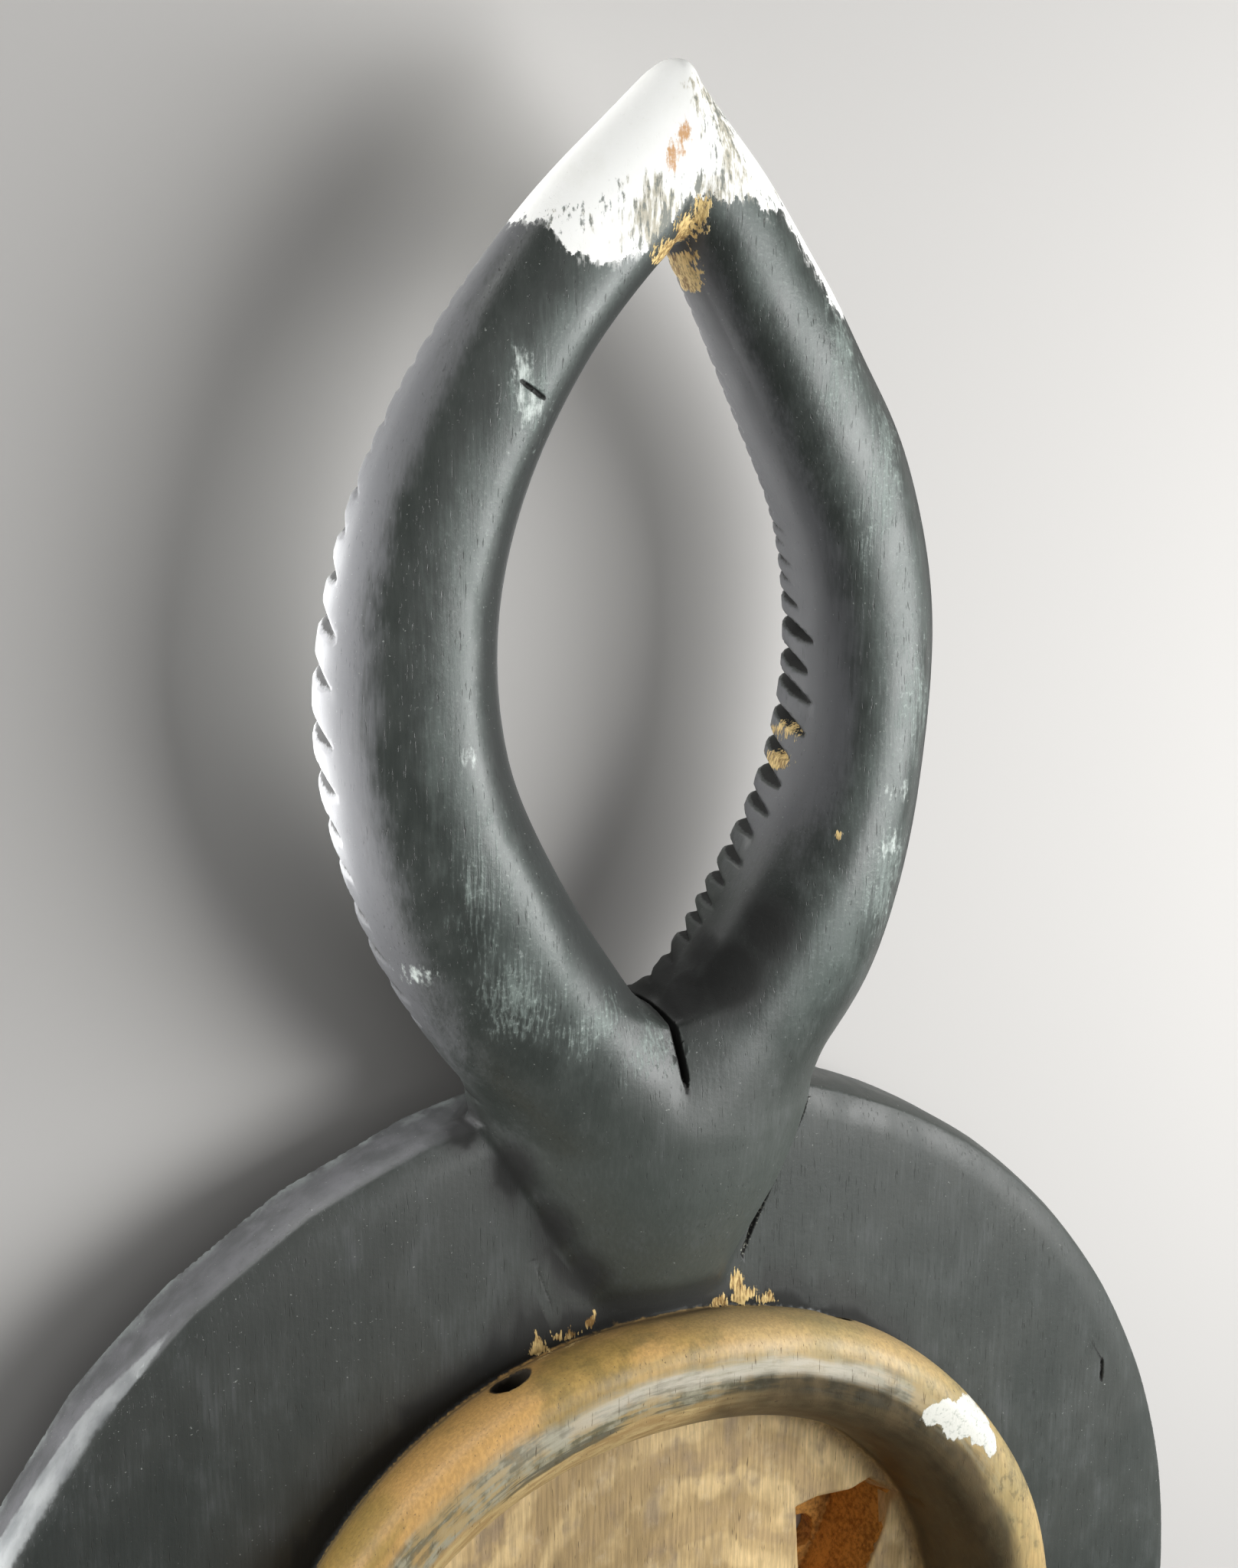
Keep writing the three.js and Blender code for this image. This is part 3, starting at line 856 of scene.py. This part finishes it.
def finish_fields(points, normals):
    """What the finish needs to know at each point, as named values."""
    x, y, z = points.T
    rx, ry = x - RIM_CENTRE[0], y - RIM_CENTRE[1]
    foot, wide = (
        oval(rx, ry, RIM_FOOT[0] + more, RIM_FOOT[1] + more, RIM_SQUARENESS)
        for more in (1, RIM_BULGE + 1.5)
    )
    outline = np.minimum(foot, np.maximum(wide, 1 - z))
    hollows = eye_hollows(x, y, z)
    behind = np.where(z > CAVITY_FLOOR - 3, 10.0, 1.2 - hollows)
    stem_clear = np.where((y > 100) & (y < 140), stem(x, y, z) - 0.7, 10)
    strip, _ = polyline(x, y, CAP_STRIP[0])
    hollow = sum(
        share * np.clip(1 - sampled(points + reach * normals) / reach, 0, 1)
        for reach, share in FEELERS
    )
    wear = np.clip(1 + sampled(points - WEAR_REACH * normals) / WEAR_REACH, 0, 1)
    ridge, notch = np.full(len(points), -1.0), np.zeros(len(points))
    for horn, here, section in horn_sections(x, y, z, 205):
        place, out, up, half_width, half_depth = section
        off = np.abs(out / half_width + horn.worn_and_lit_line)
        ridge[here] = np.where(up > 0, 1 - off / 0.5, -1)
        notch[here] = horn.notches(place, up, half_depth)
    groove = np.full(len(points), -3.0)
    for line, half_width, depth, top in FINE_MARKS:
        off, _ = polyline(x, y, line)
        dark = np.clip(depth * 5, 0, 1) * (1 - off / half_width)
        groove = np.maximum(groove, np.where(z < top, dark, -3))
    seam, _ = polyline(x, y, BESIDE_STEM)
    # The pale band on the left of the disc's side wall: part wear, part painted highlight
    about = np.degrees(np.arctan2(y, x)) % 360
    low, high = (np.interp(about, PALE_SIDE[:, 0], PALE_SIDE[:, column]) for column in (1, 2))
    side = np.minimum(np.minimum(high - z, z - low) / 2, 4 * (0.8 - normals[:, 2]))
    side = np.where(np.hypot(x, y) > PALE_SIDE_RADIUS, side, -3)
    to_left = np.where(x > HORN_MIDDLE, smooth_step(255, 290, y), smooth_step(200, 250, y))
    over_x, over_y = from_mouth(x, y, MOUTH_RECESS)
    in_recess = z + DISC_THICKNESS + FACE_RELIEF - MOUTH_RECESS[2] + 1
    return {
        "cap": np.maximum(y - np.interp(x, *CAP_LINE.T), np.where(z > 4, CAP_STRIP[1] - strip, -9)),
        "bare": np.minimum(np.minimum(-outline, behind), stem_clear),
        "hole": 1.4 - cord_holes(x, y, z),
        "crest": oval(rx, ry, *CREST_OVAL, RIM_SQUARENESS),
        "socket": 1.2 - np.where(z < CAVITY_FLOOR - 0.8, hollows, 10),
        "hollow": hollow,
        "ridge": ridge,
        "cut": np.maximum(groove, notch / 2.2),
        "wear": wear,
        **{name: nearness(points, spots) for name, spots in SPOTS.items()},
        "seam": np.where(z < CRACKS_TOP, 1 - seam / 1.6, -3),
        # Horn flanks that face right, which the finish darkens as painted shade
        "lee": smooth_step(200, 250, y) * (normals[:, 0] - np.where(x > HORN_MIDDLE, 0.45, 0.18)),
        # Horn flanks that face left, which the finish lightens as painted highlight
        "lit_flank": to_left * (-normals[:, 0] - 0.5),
        "side": np.clip(side, -3, 1),
        "teeth": 1 - np.maximum(np.maximum(over_x, over_y), in_recess),
    }


def mask():
    """The carved piece with the finish's values on it, and the place of the carving's middle."""
    points, quads = surface_net(*field_grid())
    net = bpy.data.meshes.new("net")
    net.from_pydata(settled(points, 1), [], quads)
    mesh = lighter(net, MOST_TRIANGLES)
    for near, shortest in (
        (by_spots(10), 7),
        (by_spots(5), 3.5),
        (by_spots(2.5), 1.8),
        (by_fine_marks, 1.4),
        (by_fine_marks, 0.8),
        (by_notches, 1.1),
    ):
        finer(mesh, near, shortest)
    points = settled(np.array([vertex.co for vertex in mesh.vertices], float))
    normals = gradient(points)
    normals /= np.linalg.norm(normals, axis=1)[:, None]
    for name, values in finish_fields(points, normals).items():
        layer = mesh.attributes.new(name, "FLOAT", "POINT")
        layer.data.foreach_set("value", values.astype(np.float32))
    low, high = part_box(NODE)
    shift = np.array([low.x, low.y, low.z]) - np.array(CARVING_LOW) * MM
    placed = points * MM + shift
    mesh.vertices.foreach_set("co", placed.astype(np.float32).ravel())
    mesh.shade_smooth()
    mesh.normals_split_custom_set_from_vertices(normals.tolist())
    mesh.update()
    mesh.name = "carved_mask"
    return linked("carved_mask", mesh), shift


class Signal:
    """A value in a shader, so that masks read as sums."""

    def __init__(self, graph, socket):
        self.graph = graph
        self.socket = socket

    def __add__(self, other):
        return self.graph.math("ADD", self, other)

    def __sub__(self, other):
        return self.graph.math("SUBTRACT", self, other)

    def __mul__(self, other):
        return self.graph.math("MULTIPLY", self, other)

    __radd__ = __add__

    def __rsub__(self, other):
        return self.graph.math("SUBTRACT", other, self)

    @property
    def off(self):
        """A noise's distance from its middle value."""
        return self - 0.5


class Graph:
    """A material's nodes, made by short calls."""

    def __init__(self, name):
        self.material = bpy.data.materials.new(name)
        self.material.use_nodes = True
        self.tree = self.material.node_tree
        self.shader = self.tree.nodes["Principled BSDF"]

    def put(self, socket, value):
        if isinstance(value, Signal):
            self.tree.links.new(value.socket, socket)
        elif isinstance(value, tuple) and len(value) == 3 and socket.type == "RGBA":
            socket.default_value = (*value, 1)
        else:
            socket.default_value = value

    def node(self, kind, inputs, output, **settings):
        node = self.tree.nodes.new("ShaderNode" + kind)
        for key, value in settings.items():
            setattr(node, key, value)
        for key, value in inputs.items():
            self.put(node.inputs[key], value)
        return Signal(self, node.outputs[output])

    def math(self, operation, *values):
        return self.node("Math", dict(enumerate(values)), 0, operation=operation)

    def vector(self, operation, *values):
        return self.node("VectorMath", dict(enumerate(values)), 0, operation=operation)

    def most(self, first, *others):
        for other in others:
            first = self.math("MAXIMUM", first, other)
        return first

    def rise(self, value, low, high, start=0.0, end=1.0):
        """Goes smoothly from start to end as the value goes from low to high."""
        inputs = {"Value": value, "From Min": low, "From Max": high, "To Min": start, "To Max": end}
        return self.node("MapRange", inputs, "Result", interpolation_type="SMOOTHSTEP")

    def band(self, value, low, full, fading, high):
        """Rises from 0 at low to 1 at full, and falls again from fading to high."""
        return self.rise(value, low, full) * self.rise(value, high, fading)

    def mix(self, share, first, second):
        """One colour over another: they go into the node's sockets 6 and 7, and come out of its 2."""
        return self.node("Mix", {0: share, 6: first, 7: second}, 2, data_type="RGBA")

    def coats(self, colour, *layers):
        """A colour with others laid over it in turn, each as its share and its colour."""
        for share, layer in layers:
            colour = self.mix(share, colour, layer)
        return colour

    def shade(self, colour, amount):
        """The colour, made darker or lighter by a number."""
        return self.node("VectorMath", {0: colour, "Scale": amount}, 0, operation="SCALE")

    def field(self, name):
        return self.node("Attribute", {}, "Fac", attribute_name=name)

    def place(self, shift):
        """The place on the carving, in millimetres."""
        here = self.node("TexCoord", {}, "Object")
        moved = self.vector("SUBTRACT", here, tuple(shift))
        return self.vector("MULTIPLY", moved, (1 / MM, 1 / MM, 1 / MM))

    def noise(self, place, size, detail=3, rough=0.55, seed=0):
        """Noise with features of about the given size in millimetres, or sizes along X, Y and Z."""
        sizes = size if isinstance(size, tuple) else (size, size, size)
        inverse = tuple(1 / value for value in sizes)
        scaled = self.vector("MULTIPLY", place, inverse)
        moved = self.vector("ADD", scaled, tuple(seed * step for step in SEED_STEPS))
        inputs = {"Vector": moved, "Scale": 1.0, "Detail": detail, "Roughness": rough}
        return self.node("TexNoise", inputs, 0)


def painted_wood(shift):
    """Black and white paint over carved wood that is left bare round the cavity."""
    g = Graph("painted_wood")
    rise, band, mix, most, shade, field, noise = g.rise, g.band, g.mix, g.most, g.shade, g.field, g.noise
    place = g.place(shift)
    across_x, length, height = (g.node("SeparateXYZ", {0: place}, axis) for axis in (0, 1, 2))
    turn = g.math("ARCTAN2", RIM_CENTRE[0] - across_x, length - RIM_CENTRE[1]) * DEGREES + 90
    cloud = noise(place, 38, 3, seed=1)
    blotch = noise(place, (9, 16, 9), 4, seed=2)
    streak = noise(place, (0.9, 16, 0.9), 4, 0.6, seed=3)
    pore = noise(place, (0.5, 6, 0.5), 2, 0.5, seed=4)
    speck = noise(place, 0.9, 2, 0.5, seed=5)
    fine = noise(place, 1.5, 4, 0.65, seed=6)
    ragged = noise(place, (3, 5, 3), 5, 0.65, seed=7)
    crayon = noise(place, (1.3, 9, 1.3), 4, 0.65, seed=8)
    fibre = noise(place, (0.8, 4, 0.8), 3, 0.6, seed=9)
    smudge = noise(place, (6, 10, 6), 4, 0.65, seed=12)
    hollow, bare, stain, cap, crest = map(field, ("hollow", "bare", "stain", "cap", "crest"))
    pores = rise(pore, 0.64, 0.74)
    grain = rise(streak, 0.3, 0.72)

    # Where the black paint is rubbed, scuffed or dusty, and where painted light and painted shade lie on it
    on_horns = rise(length, 175, 235)
    on_stem = rise(height, 2, 12) * rise(length, 240, 215)
    on_left = band(turn, 92, 108, 225, 255)
    # Paler paint along the horns' backs: part wear, part painted highlight
    along_ridge = rise(field("ridge") + blotch.off * 1.6 + streak.off * 1.2, -0.5, 1.1)
    along_ridge = along_ridge * rise(length, 204, 250)
    pale_ridge = along_ridge * rise(fine + speck.off * 0.7, 0.52, 0.82)
    # Painted shade on the horns' right-facing flanks
    lee = rise(field("lee") + blotch.off * 0.3, 0, 0.4)
    # Painted highlight on the horns' left-facing flanks, brightest at the glint
    lit_flank = rise(field("lit_flank") + blotch.off * 0.4 + streak.off * 0.3, 0, 0.35)
    glint = rise(across_x, 6, -2) * band(length, 255, 285, 350, 390)
    # Painted light: the disc's side wall on the left is lighter, where the light falls
    lit_left_wall = on_left * band(height, -26, -22, -5, -2) * rise(length, 206, 196)
    lit_left_wall = lit_left_wall * rise(blotch + ragged.off * 0.6, 0.3, 0.75, 0.45, 0.85)
    edges = field("wear") * rise(blotch + fine * 0.5, 0.6, 0.95)
    # Lower edges, lighter more so on the left: part wear, part painted highlight
    worn_and_lit_low_edge = rise(height, -14, -20) * (on_left * 0.3 + 0.6)
    # Part paint rubbed through, part painted highlight
    rubbed = rise(field("worn_and_lit") + blotch.off * 1.6 + streak.off * 2.6 + fine.off * 0.9, 0.15, 1.25)
    worn_and_lit = most(edges * on_horns * 0.5, rubbed)
    flecks = rise(fine + speck * 0.5, 0.8, 0.94) * rubbed
    dust = rise(speck, 0.715, 0.76) * rise(cloud, 0.4, 0.6, 0.35, 1)
    scuffed = rise(field("scuff") + ragged.off * 1.8 + crayon.off * 2.2 + fine.off * 0.8, 0.1, 1)
    # Painted shade: darker where the surface is hollow, more on the left than on the lit right, with a
    # painted shadow on the disc beside the rim and at the shade spots
    shadow_beside_rim = rise(bare, -20, -1) * band(turn, 75, 150, 205, 262) * rise(height, 4, 2)
    deep = rise(hollow, 0.16, 0.62) * rise(turn, 50, 110, 0.45, 1) * rise(turn, 205, 262, 1, 0.45)
    in_shade_spot = rise(field("shade_spot") + blotch.off * 0.5, 0, 0.6, 0, 0.95)
    deep = most(deep, rise(hollow, 0.45, 0.8), in_shade_spot, shadow_beside_rim * 0.8)
    # Painted shade in the notches and cracks, partly dirt in them
    sunk = rise(field("cut") + fine.off * 0.6, 0.12, 0.5)
    # Pale band on the disc's left side wall: part wear, part painted highlight
    pale_side = rise(field("side") + ragged.off * 0.9 + fine.off * 0.4, -0.05, 0.6)
    pale_side = pale_side * rise(turn, 138, 160, 0.45, 0.9)
    crumbs = rise(field("seam") + speck.off * 5.5, 1, 1.6)

    # Black paint
    black = g.coats(
        mix(rise(cloud, 0.3, 0.7), (0.031, 0.037, 0.033), (0.041, 0.046, 0.041)),
        (rise(blotch, 0.45, 0.75, 0, 0.35), (0.053, 0.063, 0.056)),
        (on_stem * 0.7, (0.066, 0.077, 0.068)),
    )
    # Painted light: the black is lighter towards the right and darker towards the left, as the light falls
    black = shade(black, rise(turn, 60, 150, 1.08, 0.8) * rise(turn, 200, 262, 1, 1.35))
    horned = mix(rise(blotch, 0.35, 0.7), (0.032, 0.038, 0.034), (0.046, 0.053, 0.048))
    black = g.coats(
        shade(mix(on_horns, black, horned), rise(grain, 0, 1, 0.93, 1.07)),
        (along_ridge * 0.75, (0.102, 0.128, 0.116)),
        (pale_ridge * 0.4, (0.22, 0.26, 0.235)),
        (lee * 0.8, (0.014, 0.016, 0.015)),
        (lit_flank * 0.75, mix(glint, (0.115, 0.116, 0.125), (0.175, 0.177, 0.19))),
        (lit_left_wall, (0.115, 0.114, 0.122)),
        (edges * most(on_horns * 0.35, worn_and_lit_low_edge), (0.22, 0.25, 0.235)),
        (rubbed * 0.6, (0.24, 0.29, 0.265)),
        (flecks * 0.4, (0.42, 0.49, 0.45)),
        (dust * 0.5, (0.4, 0.42, 0.39)),
        (pores * rise(along_ridge, 0, 0.6, 0.4, 0.8), (0.01, 0.01, 0.009)),
        (scuffed * 0.9, (0.62, 0.68, 0.64)),
        (deep * 0.88, (0.01, 0.01, 0.009)),
        (sunk * 0.92, (0.006, 0.006, 0.005)),
        (pale_side, mix(rise(blotch, 0.35, 0.65), (0.22, 0.235, 0.24), (0.38, 0.4, 0.395))),
        (crumbs * 0.4, (0.45, 0.46, 0.38)),
    )

    # White paint, stained and rubbed thin, over the black
    grubby = rise(stain + blotch.off * 3 + crayon.off * 4, 0.2, 0.9, 0, 0.8)
    thin = rise(stain + crayon.off * 4.5 + fine.off * 1.5, 0.35, 0.9, 0, 0.85)
    rusty = rise(field("rust") + crayon.off * 3 + fine.off * 1.5, 0, 0.7)
    white = g.coats(
        mix(rise(blotch, 0.45, 0.8, 0, 0.2), (0.96, 0.965, 0.935), (0.72, 0.72, 0.62)),
        (grubby, (0.4, 0.36, 0.25)),
        (thin, (0.17, 0.19, 0.175)),
        (rusty * 0.9, (0.58, 0.29, 0.09)),
    )
    edge = cap + ragged.off * 9 + fine.off * 4
    capped = rise(edge, -0.25, 0.25)
    brushed = rise(edge + crayon.off * 16, -1.5, 1) * rise(cap, -4, 1)
    toothed = rise(field("teeth") + fine.off * 1.2, 0, 0.4)
    painted = g.coats(black, (brushed * 0.55, white), (capped, white), (toothed, shade(white, 0.8)))

    # Bare wood of the rim: orange brown outside, a grey band on the crest that is part rubbed patina and
    # part painted sheen, and painted shadow on the inner wall
    track = g.node("CombineXYZ", {0: turn * RIM_DEGREE, 1: crest, 2: 0.0}, 0)
    from_seam = band(turn, -88, -65, 245, 268)
    around = noise(track, (34, 3.4, 1), 4, 0.6, seed=10).off * from_seam + 0.5
    brushed_on = noise(track, (10, 1.6, 1), 4, 0.65, seed=11).off * from_seam + 0.5
    across = crest + cloud.off * 9 + around.off * 5
    right = most(rise(turn + cloud.off * 60, 105, 72), rise(turn + cloud.off * 40, 200, 245))
    olive = rise(smudge + cloud.off * 0.9, 0.44, 0.72)
    olive = olive * most(rise(turn, 140, 90, 0.2, 1), rise(turn, 200, 262, 0.2, 1))
    foot = rise(crest + smudge.off * 4, 4.5, 8.5, 0, 0.45) * rise(height, 14, 2)
    upper = band(turn, 20, 60, 180, 205)
    crested = band(across, -9.5, -7, 1, 5.5)
    sheen = band(across, -5, -1, 0.5, 4.5) * band(turn, 50, 70, 95, 125)
    blackened = rise(around + cloud.off * 0.6, 0.56, 0.64) * band(across, -11, -8, -6, -3)
    inner = rise(across - right * 4.5, -4, -9.5) * rise(height, CAVITY_FLOOR + 0.5, CAVITY_FLOOR + 5)
    stained = rise(ragged + cloud * 0.5, 0.82, 0.95) * most(rise(turn, 80, 50), rise(turn, 215, 262))
    warm = g.coats(
        mix(rise(cloud + around.off * 0.5, 0.38, 0.62), (0.52, 0.305, 0.1), (0.36, 0.235, 0.066)),
        (olive * 0.6, (0.165, 0.125, 0.042)),
        (right * 0.55, (0.42, 0.34, 0.17)),
        (foot, (0.1, 0.065, 0.022)),
    )
    warm = shade(warm, rise(grain, 0, 1, 0.86, 1.1))
    tan = mix(rise(brushed_on, 0.35, 0.65), (0.36, 0.235, 0.095), (0.55, 0.41, 0.19))
    grey = g.coats(
        mix(rise(around + smudge.off * 0.9, 0.38, 0.58), (0.13, 0.125, 0.08), (0.325, 0.31, 0.225)),
        (rise(brushed_on + blotch.off * 0.8, 0.44, 0.64, 0, 0.8), (0.4, 0.29, 0.13)),
        (sheen * rise(brushed_on, 0.3, 0.6, 0.4, 0.95), (0.51, 0.48, 0.4)),
    )
    shadow = mix(rise(blotch, 0.35, 0.7), (0.022, 0.018, 0.01), (0.07, 0.05, 0.024))
    rim_wood = g.coats(
        mix(rise(across, -10, -7), tan, warm),
        (crested * upper * rise(smudge + cloud * 0.6, 0.5, 0.75, 0.6, 0.95), grey),
        (blackened * upper * 0.7, (0.05, 0.045, 0.028)),
        (inner * most(right, 0.15) * 0.9, shadow),
        (stained * 0.5, (0.1, 0.085, 0.045)),
    )

    # Bare wood of the cavity's floor, with the arched growth lines of a board cut near its heart
    arch = g.vector("MULTIPLY", g.vector("SUBTRACT", place, ARCH_MIDDLE), ARCH_SCALE)
    arch = g.node("VectorMath", {0: arch}, "Value", operation="LENGTH")
    arch = g.math("SINE", (arch + cloud.off * 0.35 + blotch.off * 0.1) * ARCH_TURNS)
    clear = rise(cloud + blotch * 0.5, 0.55, 0.8)
    ground = g.coats(
        mix(rise(cloud, 0.35, 0.65), (0.38, 0.265, 0.118), (0.56, 0.4, 0.19)),
        (rise(arch, -0.2, 0.9, 0, 0.6) * clear, (0.84, 0.63, 0.32)),
        (rise(arch, -0.5, -1, 0, 0.45) * clear, (0.36, 0.25, 0.13)),
        (rise(blotch, 0.5, 0.7, 0, 0.7), (0.27, 0.2, 0.128)),
        (rise(smudge, 0.55, 0.72, 0, 0.35), (0.64, 0.51, 0.32)),
    )
    ground = shade(ground, rise(grain, 0, 1, 0.82, 1.12))
    # Painted light: the floor is darker towards the left and lighter towards the right, as the light falls
    ground = shade(ground, rise(turn, 50, 110, 1, 0.78) * rise(turn, 205, 262, 1, 1.28))
    low = rise(height + ragged.off * 3.5, CAVITY_FLOOR + 3.2, CAVITY_FLOOR + 2.2)

    # All bare wood, with what is in the eyes, the pores and the chip, a pit drawn as a spot of painted
    # shade, and painted shade in its hollows
    mottled = mix(rise(fine + blotch * 0.5, 0.55, 0.9), (0.3, 0.13, 0.022), (0.66, 0.34, 0.075))
    chipped = rise(field("chip") + ragged.off * 0.8, 0.06, 0.12)
    wood = g.coats(
        rim_wood,
        (low, ground),
        (rise(field("socket") + fine.off, 0, 0.6), mottled),
        (pores * 0.65, (0.06, 0.038, 0.018)),
        (rise(field("pit") + fine.off, 0.1, 0.5), (0.03, 0.012, 0.006)),
        (rise(hollow, 0.5, 0.95, 0, 0.6), (0.04, 0.028, 0.014)),
        (chipped, mix(rise(fine, 0.3, 0.5), (0.4, 0.42, 0.37), (0.66, 0.66, 0.6))),
    )

    # The whole: paint or bare wood, painted shade in the cord holes, and raw wood where the paint has broken
    # away
    is_bare = rise(bare + ragged.off * 1.8, -0.2, 0.4)
    holed = rise(field("hole"), 0, 1, 0, 0.96)
    raw = rise(field("raw") + ragged.off * 1.5 + fibre.off * 1.6, 0.1, 0.24)
    fresh = mix(rise(fibre + blotch.off * 0.8, 0.32, 0.66), (0.22, 0.12, 0.03), (0.78, 0.58, 0.25))
    colour = g.coats(painted, (is_bare, wood), (holed, (0.008, 0.007, 0.005)), (raw, fresh))
    g.put(g.shader.inputs["Base Color"], colour)

    gloss = rise(blotch, 0.3, 0.7, 0.36, 0.46) + worn_and_lit * 0.1 + lee * 0.35 + lit_flank * 0.16
    gloss = gloss - crested * is_bare * 0.08 + rise(length, 215, 190, 0, 0.1)
    matt = most(capped * 0.7, raw * 0.75, low * is_bare * 0.62, scuffed * 0.55)
    matt = most(matt, most(deep, sunk, holed) * 0.85)
    g.put(g.shader.inputs["Roughness"], most(gloss, matt))

    relief = streak * 0.18 + fine * (0.3 + worn_and_lit * 0.6) - pores * 0.35 + capped * 0.5
    relief = relief + chipped * is_bare * 0.5 + streak * low * is_bare * 0.2
    relief = relief + ragged * raw * 1.5 + fibre * raw * 1.2
    bump = g.node("Bump", {"Strength": 0.5, "Distance": 0.0004, "Height": relief}, 0)
    g.put(g.shader.inputs["Normal"], bump)
    return g.material


def plain(name, colour, roughness):
    g = Graph(name)
    g.put(g.shader.inputs["Base Color"], colour)
    g.put(g.shader.inputs["Roughness"], roughness)
    return g.material


def floor():
    reach = 6
    corners = [(-reach, -reach, 0), (reach, -reach, 0), (reach, reach, 0), (-reach, reach, 0)]
    mesh = bpy.data.meshes.new("floor")
    mesh.from_pydata(corners, [], [(0, 1, 2, 3)])
    mesh.materials.append(plain("pale_floor", (0.50, 0.49, 0.475), 0.8))
    piece = linked("floor", mesh)


def camera():
    """The photograph's place and view: its pixels and its focal length give the lens."""
    place = Vector((-273.9, 288.5, 588.7)) * MM
    target = Vector((-4.6, 154.3, 45.5)) * MM
    roll = 0.0057
    focal_pixels = 3000
    picture_height = 2048
    data = bpy.data.cameras.new("camera")
    data.sensor_width = 36
    data.lens = data.sensor_width * focal_pixels / picture_height
    ahead = (target - place).normalized()
    right = ahead.cross(Vector((0, 1, 0))).normalized()
    up = right.cross(ahead)
    across = right * np.cos(roll) + up * np.sin(roll)
    rise = up * np.cos(roll) - right * np.sin(roll)
    view = linked("camera", data)
    view.matrix_world = Matrix.Translation(place) @ Matrix((across, rise, -ahead)).transposed().to_4x4()
    bpy.context.scene.camera = view


def lamp(name, place, target, size, power):
    data = bpy.data.lights.new(name, "AREA")
    data.shape = "RECTANGLE"
    data.size, data.size_y = size
    data.energy = power
    piece = linked(name, data)
    piece.location = place
    piece.rotation_mode = "QUATERNION"
    piece.rotation_quaternion = (Vector(target) - Vector(place)).to_track_quat("-Z", "Y")
    piece.visible_camera = False


def lights():
    lamp("right", (0.57, 0.12, 0.68), (0, 0.1, 0.03), (0.45, 0.75), 12)
    lamp("left", (-1.2, -0.2, 0.05), (0, 0.0, 0.045), (1.5, 0.07), 11.5)
    lamp("upper_left", (-0.9, 1.0, 0.12), (-0.05, 0.25, 0.04), (0.8, 0.12), 4.6)
    lamp("above", (-0.2, 0.6, 1.5), (0, 0.1, 0), (1, 1), 2.5)
    lamp("under_horns", (-0.12, 0.27, 0.002), (-0.12, 0.27, 1), (0.3, 0.18), 0.2)
    lamp("beside_horn", (-0.14, 0.178, 0.002), (-0.14, 0.178, 1), (0.10, 0.11), 0.35)
    lamp("between_horns", (-0.005, 0.215, 0.002), (-0.005, 0.215, 1), (0.05, 0.11), 0.09)
    lamp("beside_disc", (-0.3, -0.02, 0.002), (-0.3, -0.02, 1), (0.12, 0.3), 0.9)
    world = bpy.data.worlds.new("world")
    world.use_nodes = True
    sky = world.node_tree.nodes["Background"].inputs
    sky["Color"].default_value = (1, 1, 1, 1)
    sky["Strength"].default_value = 0.12
    bpy.context.scene.world = world
    bpy.context.scene.view_settings.view_transform = "Standard"


camera()
floor()
lights()
carved, carving_place = mask()
carved.data.materials.clear()
carved.data.materials.append(painted_wood(carving_place))
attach(carved, "root")
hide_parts(NODE)
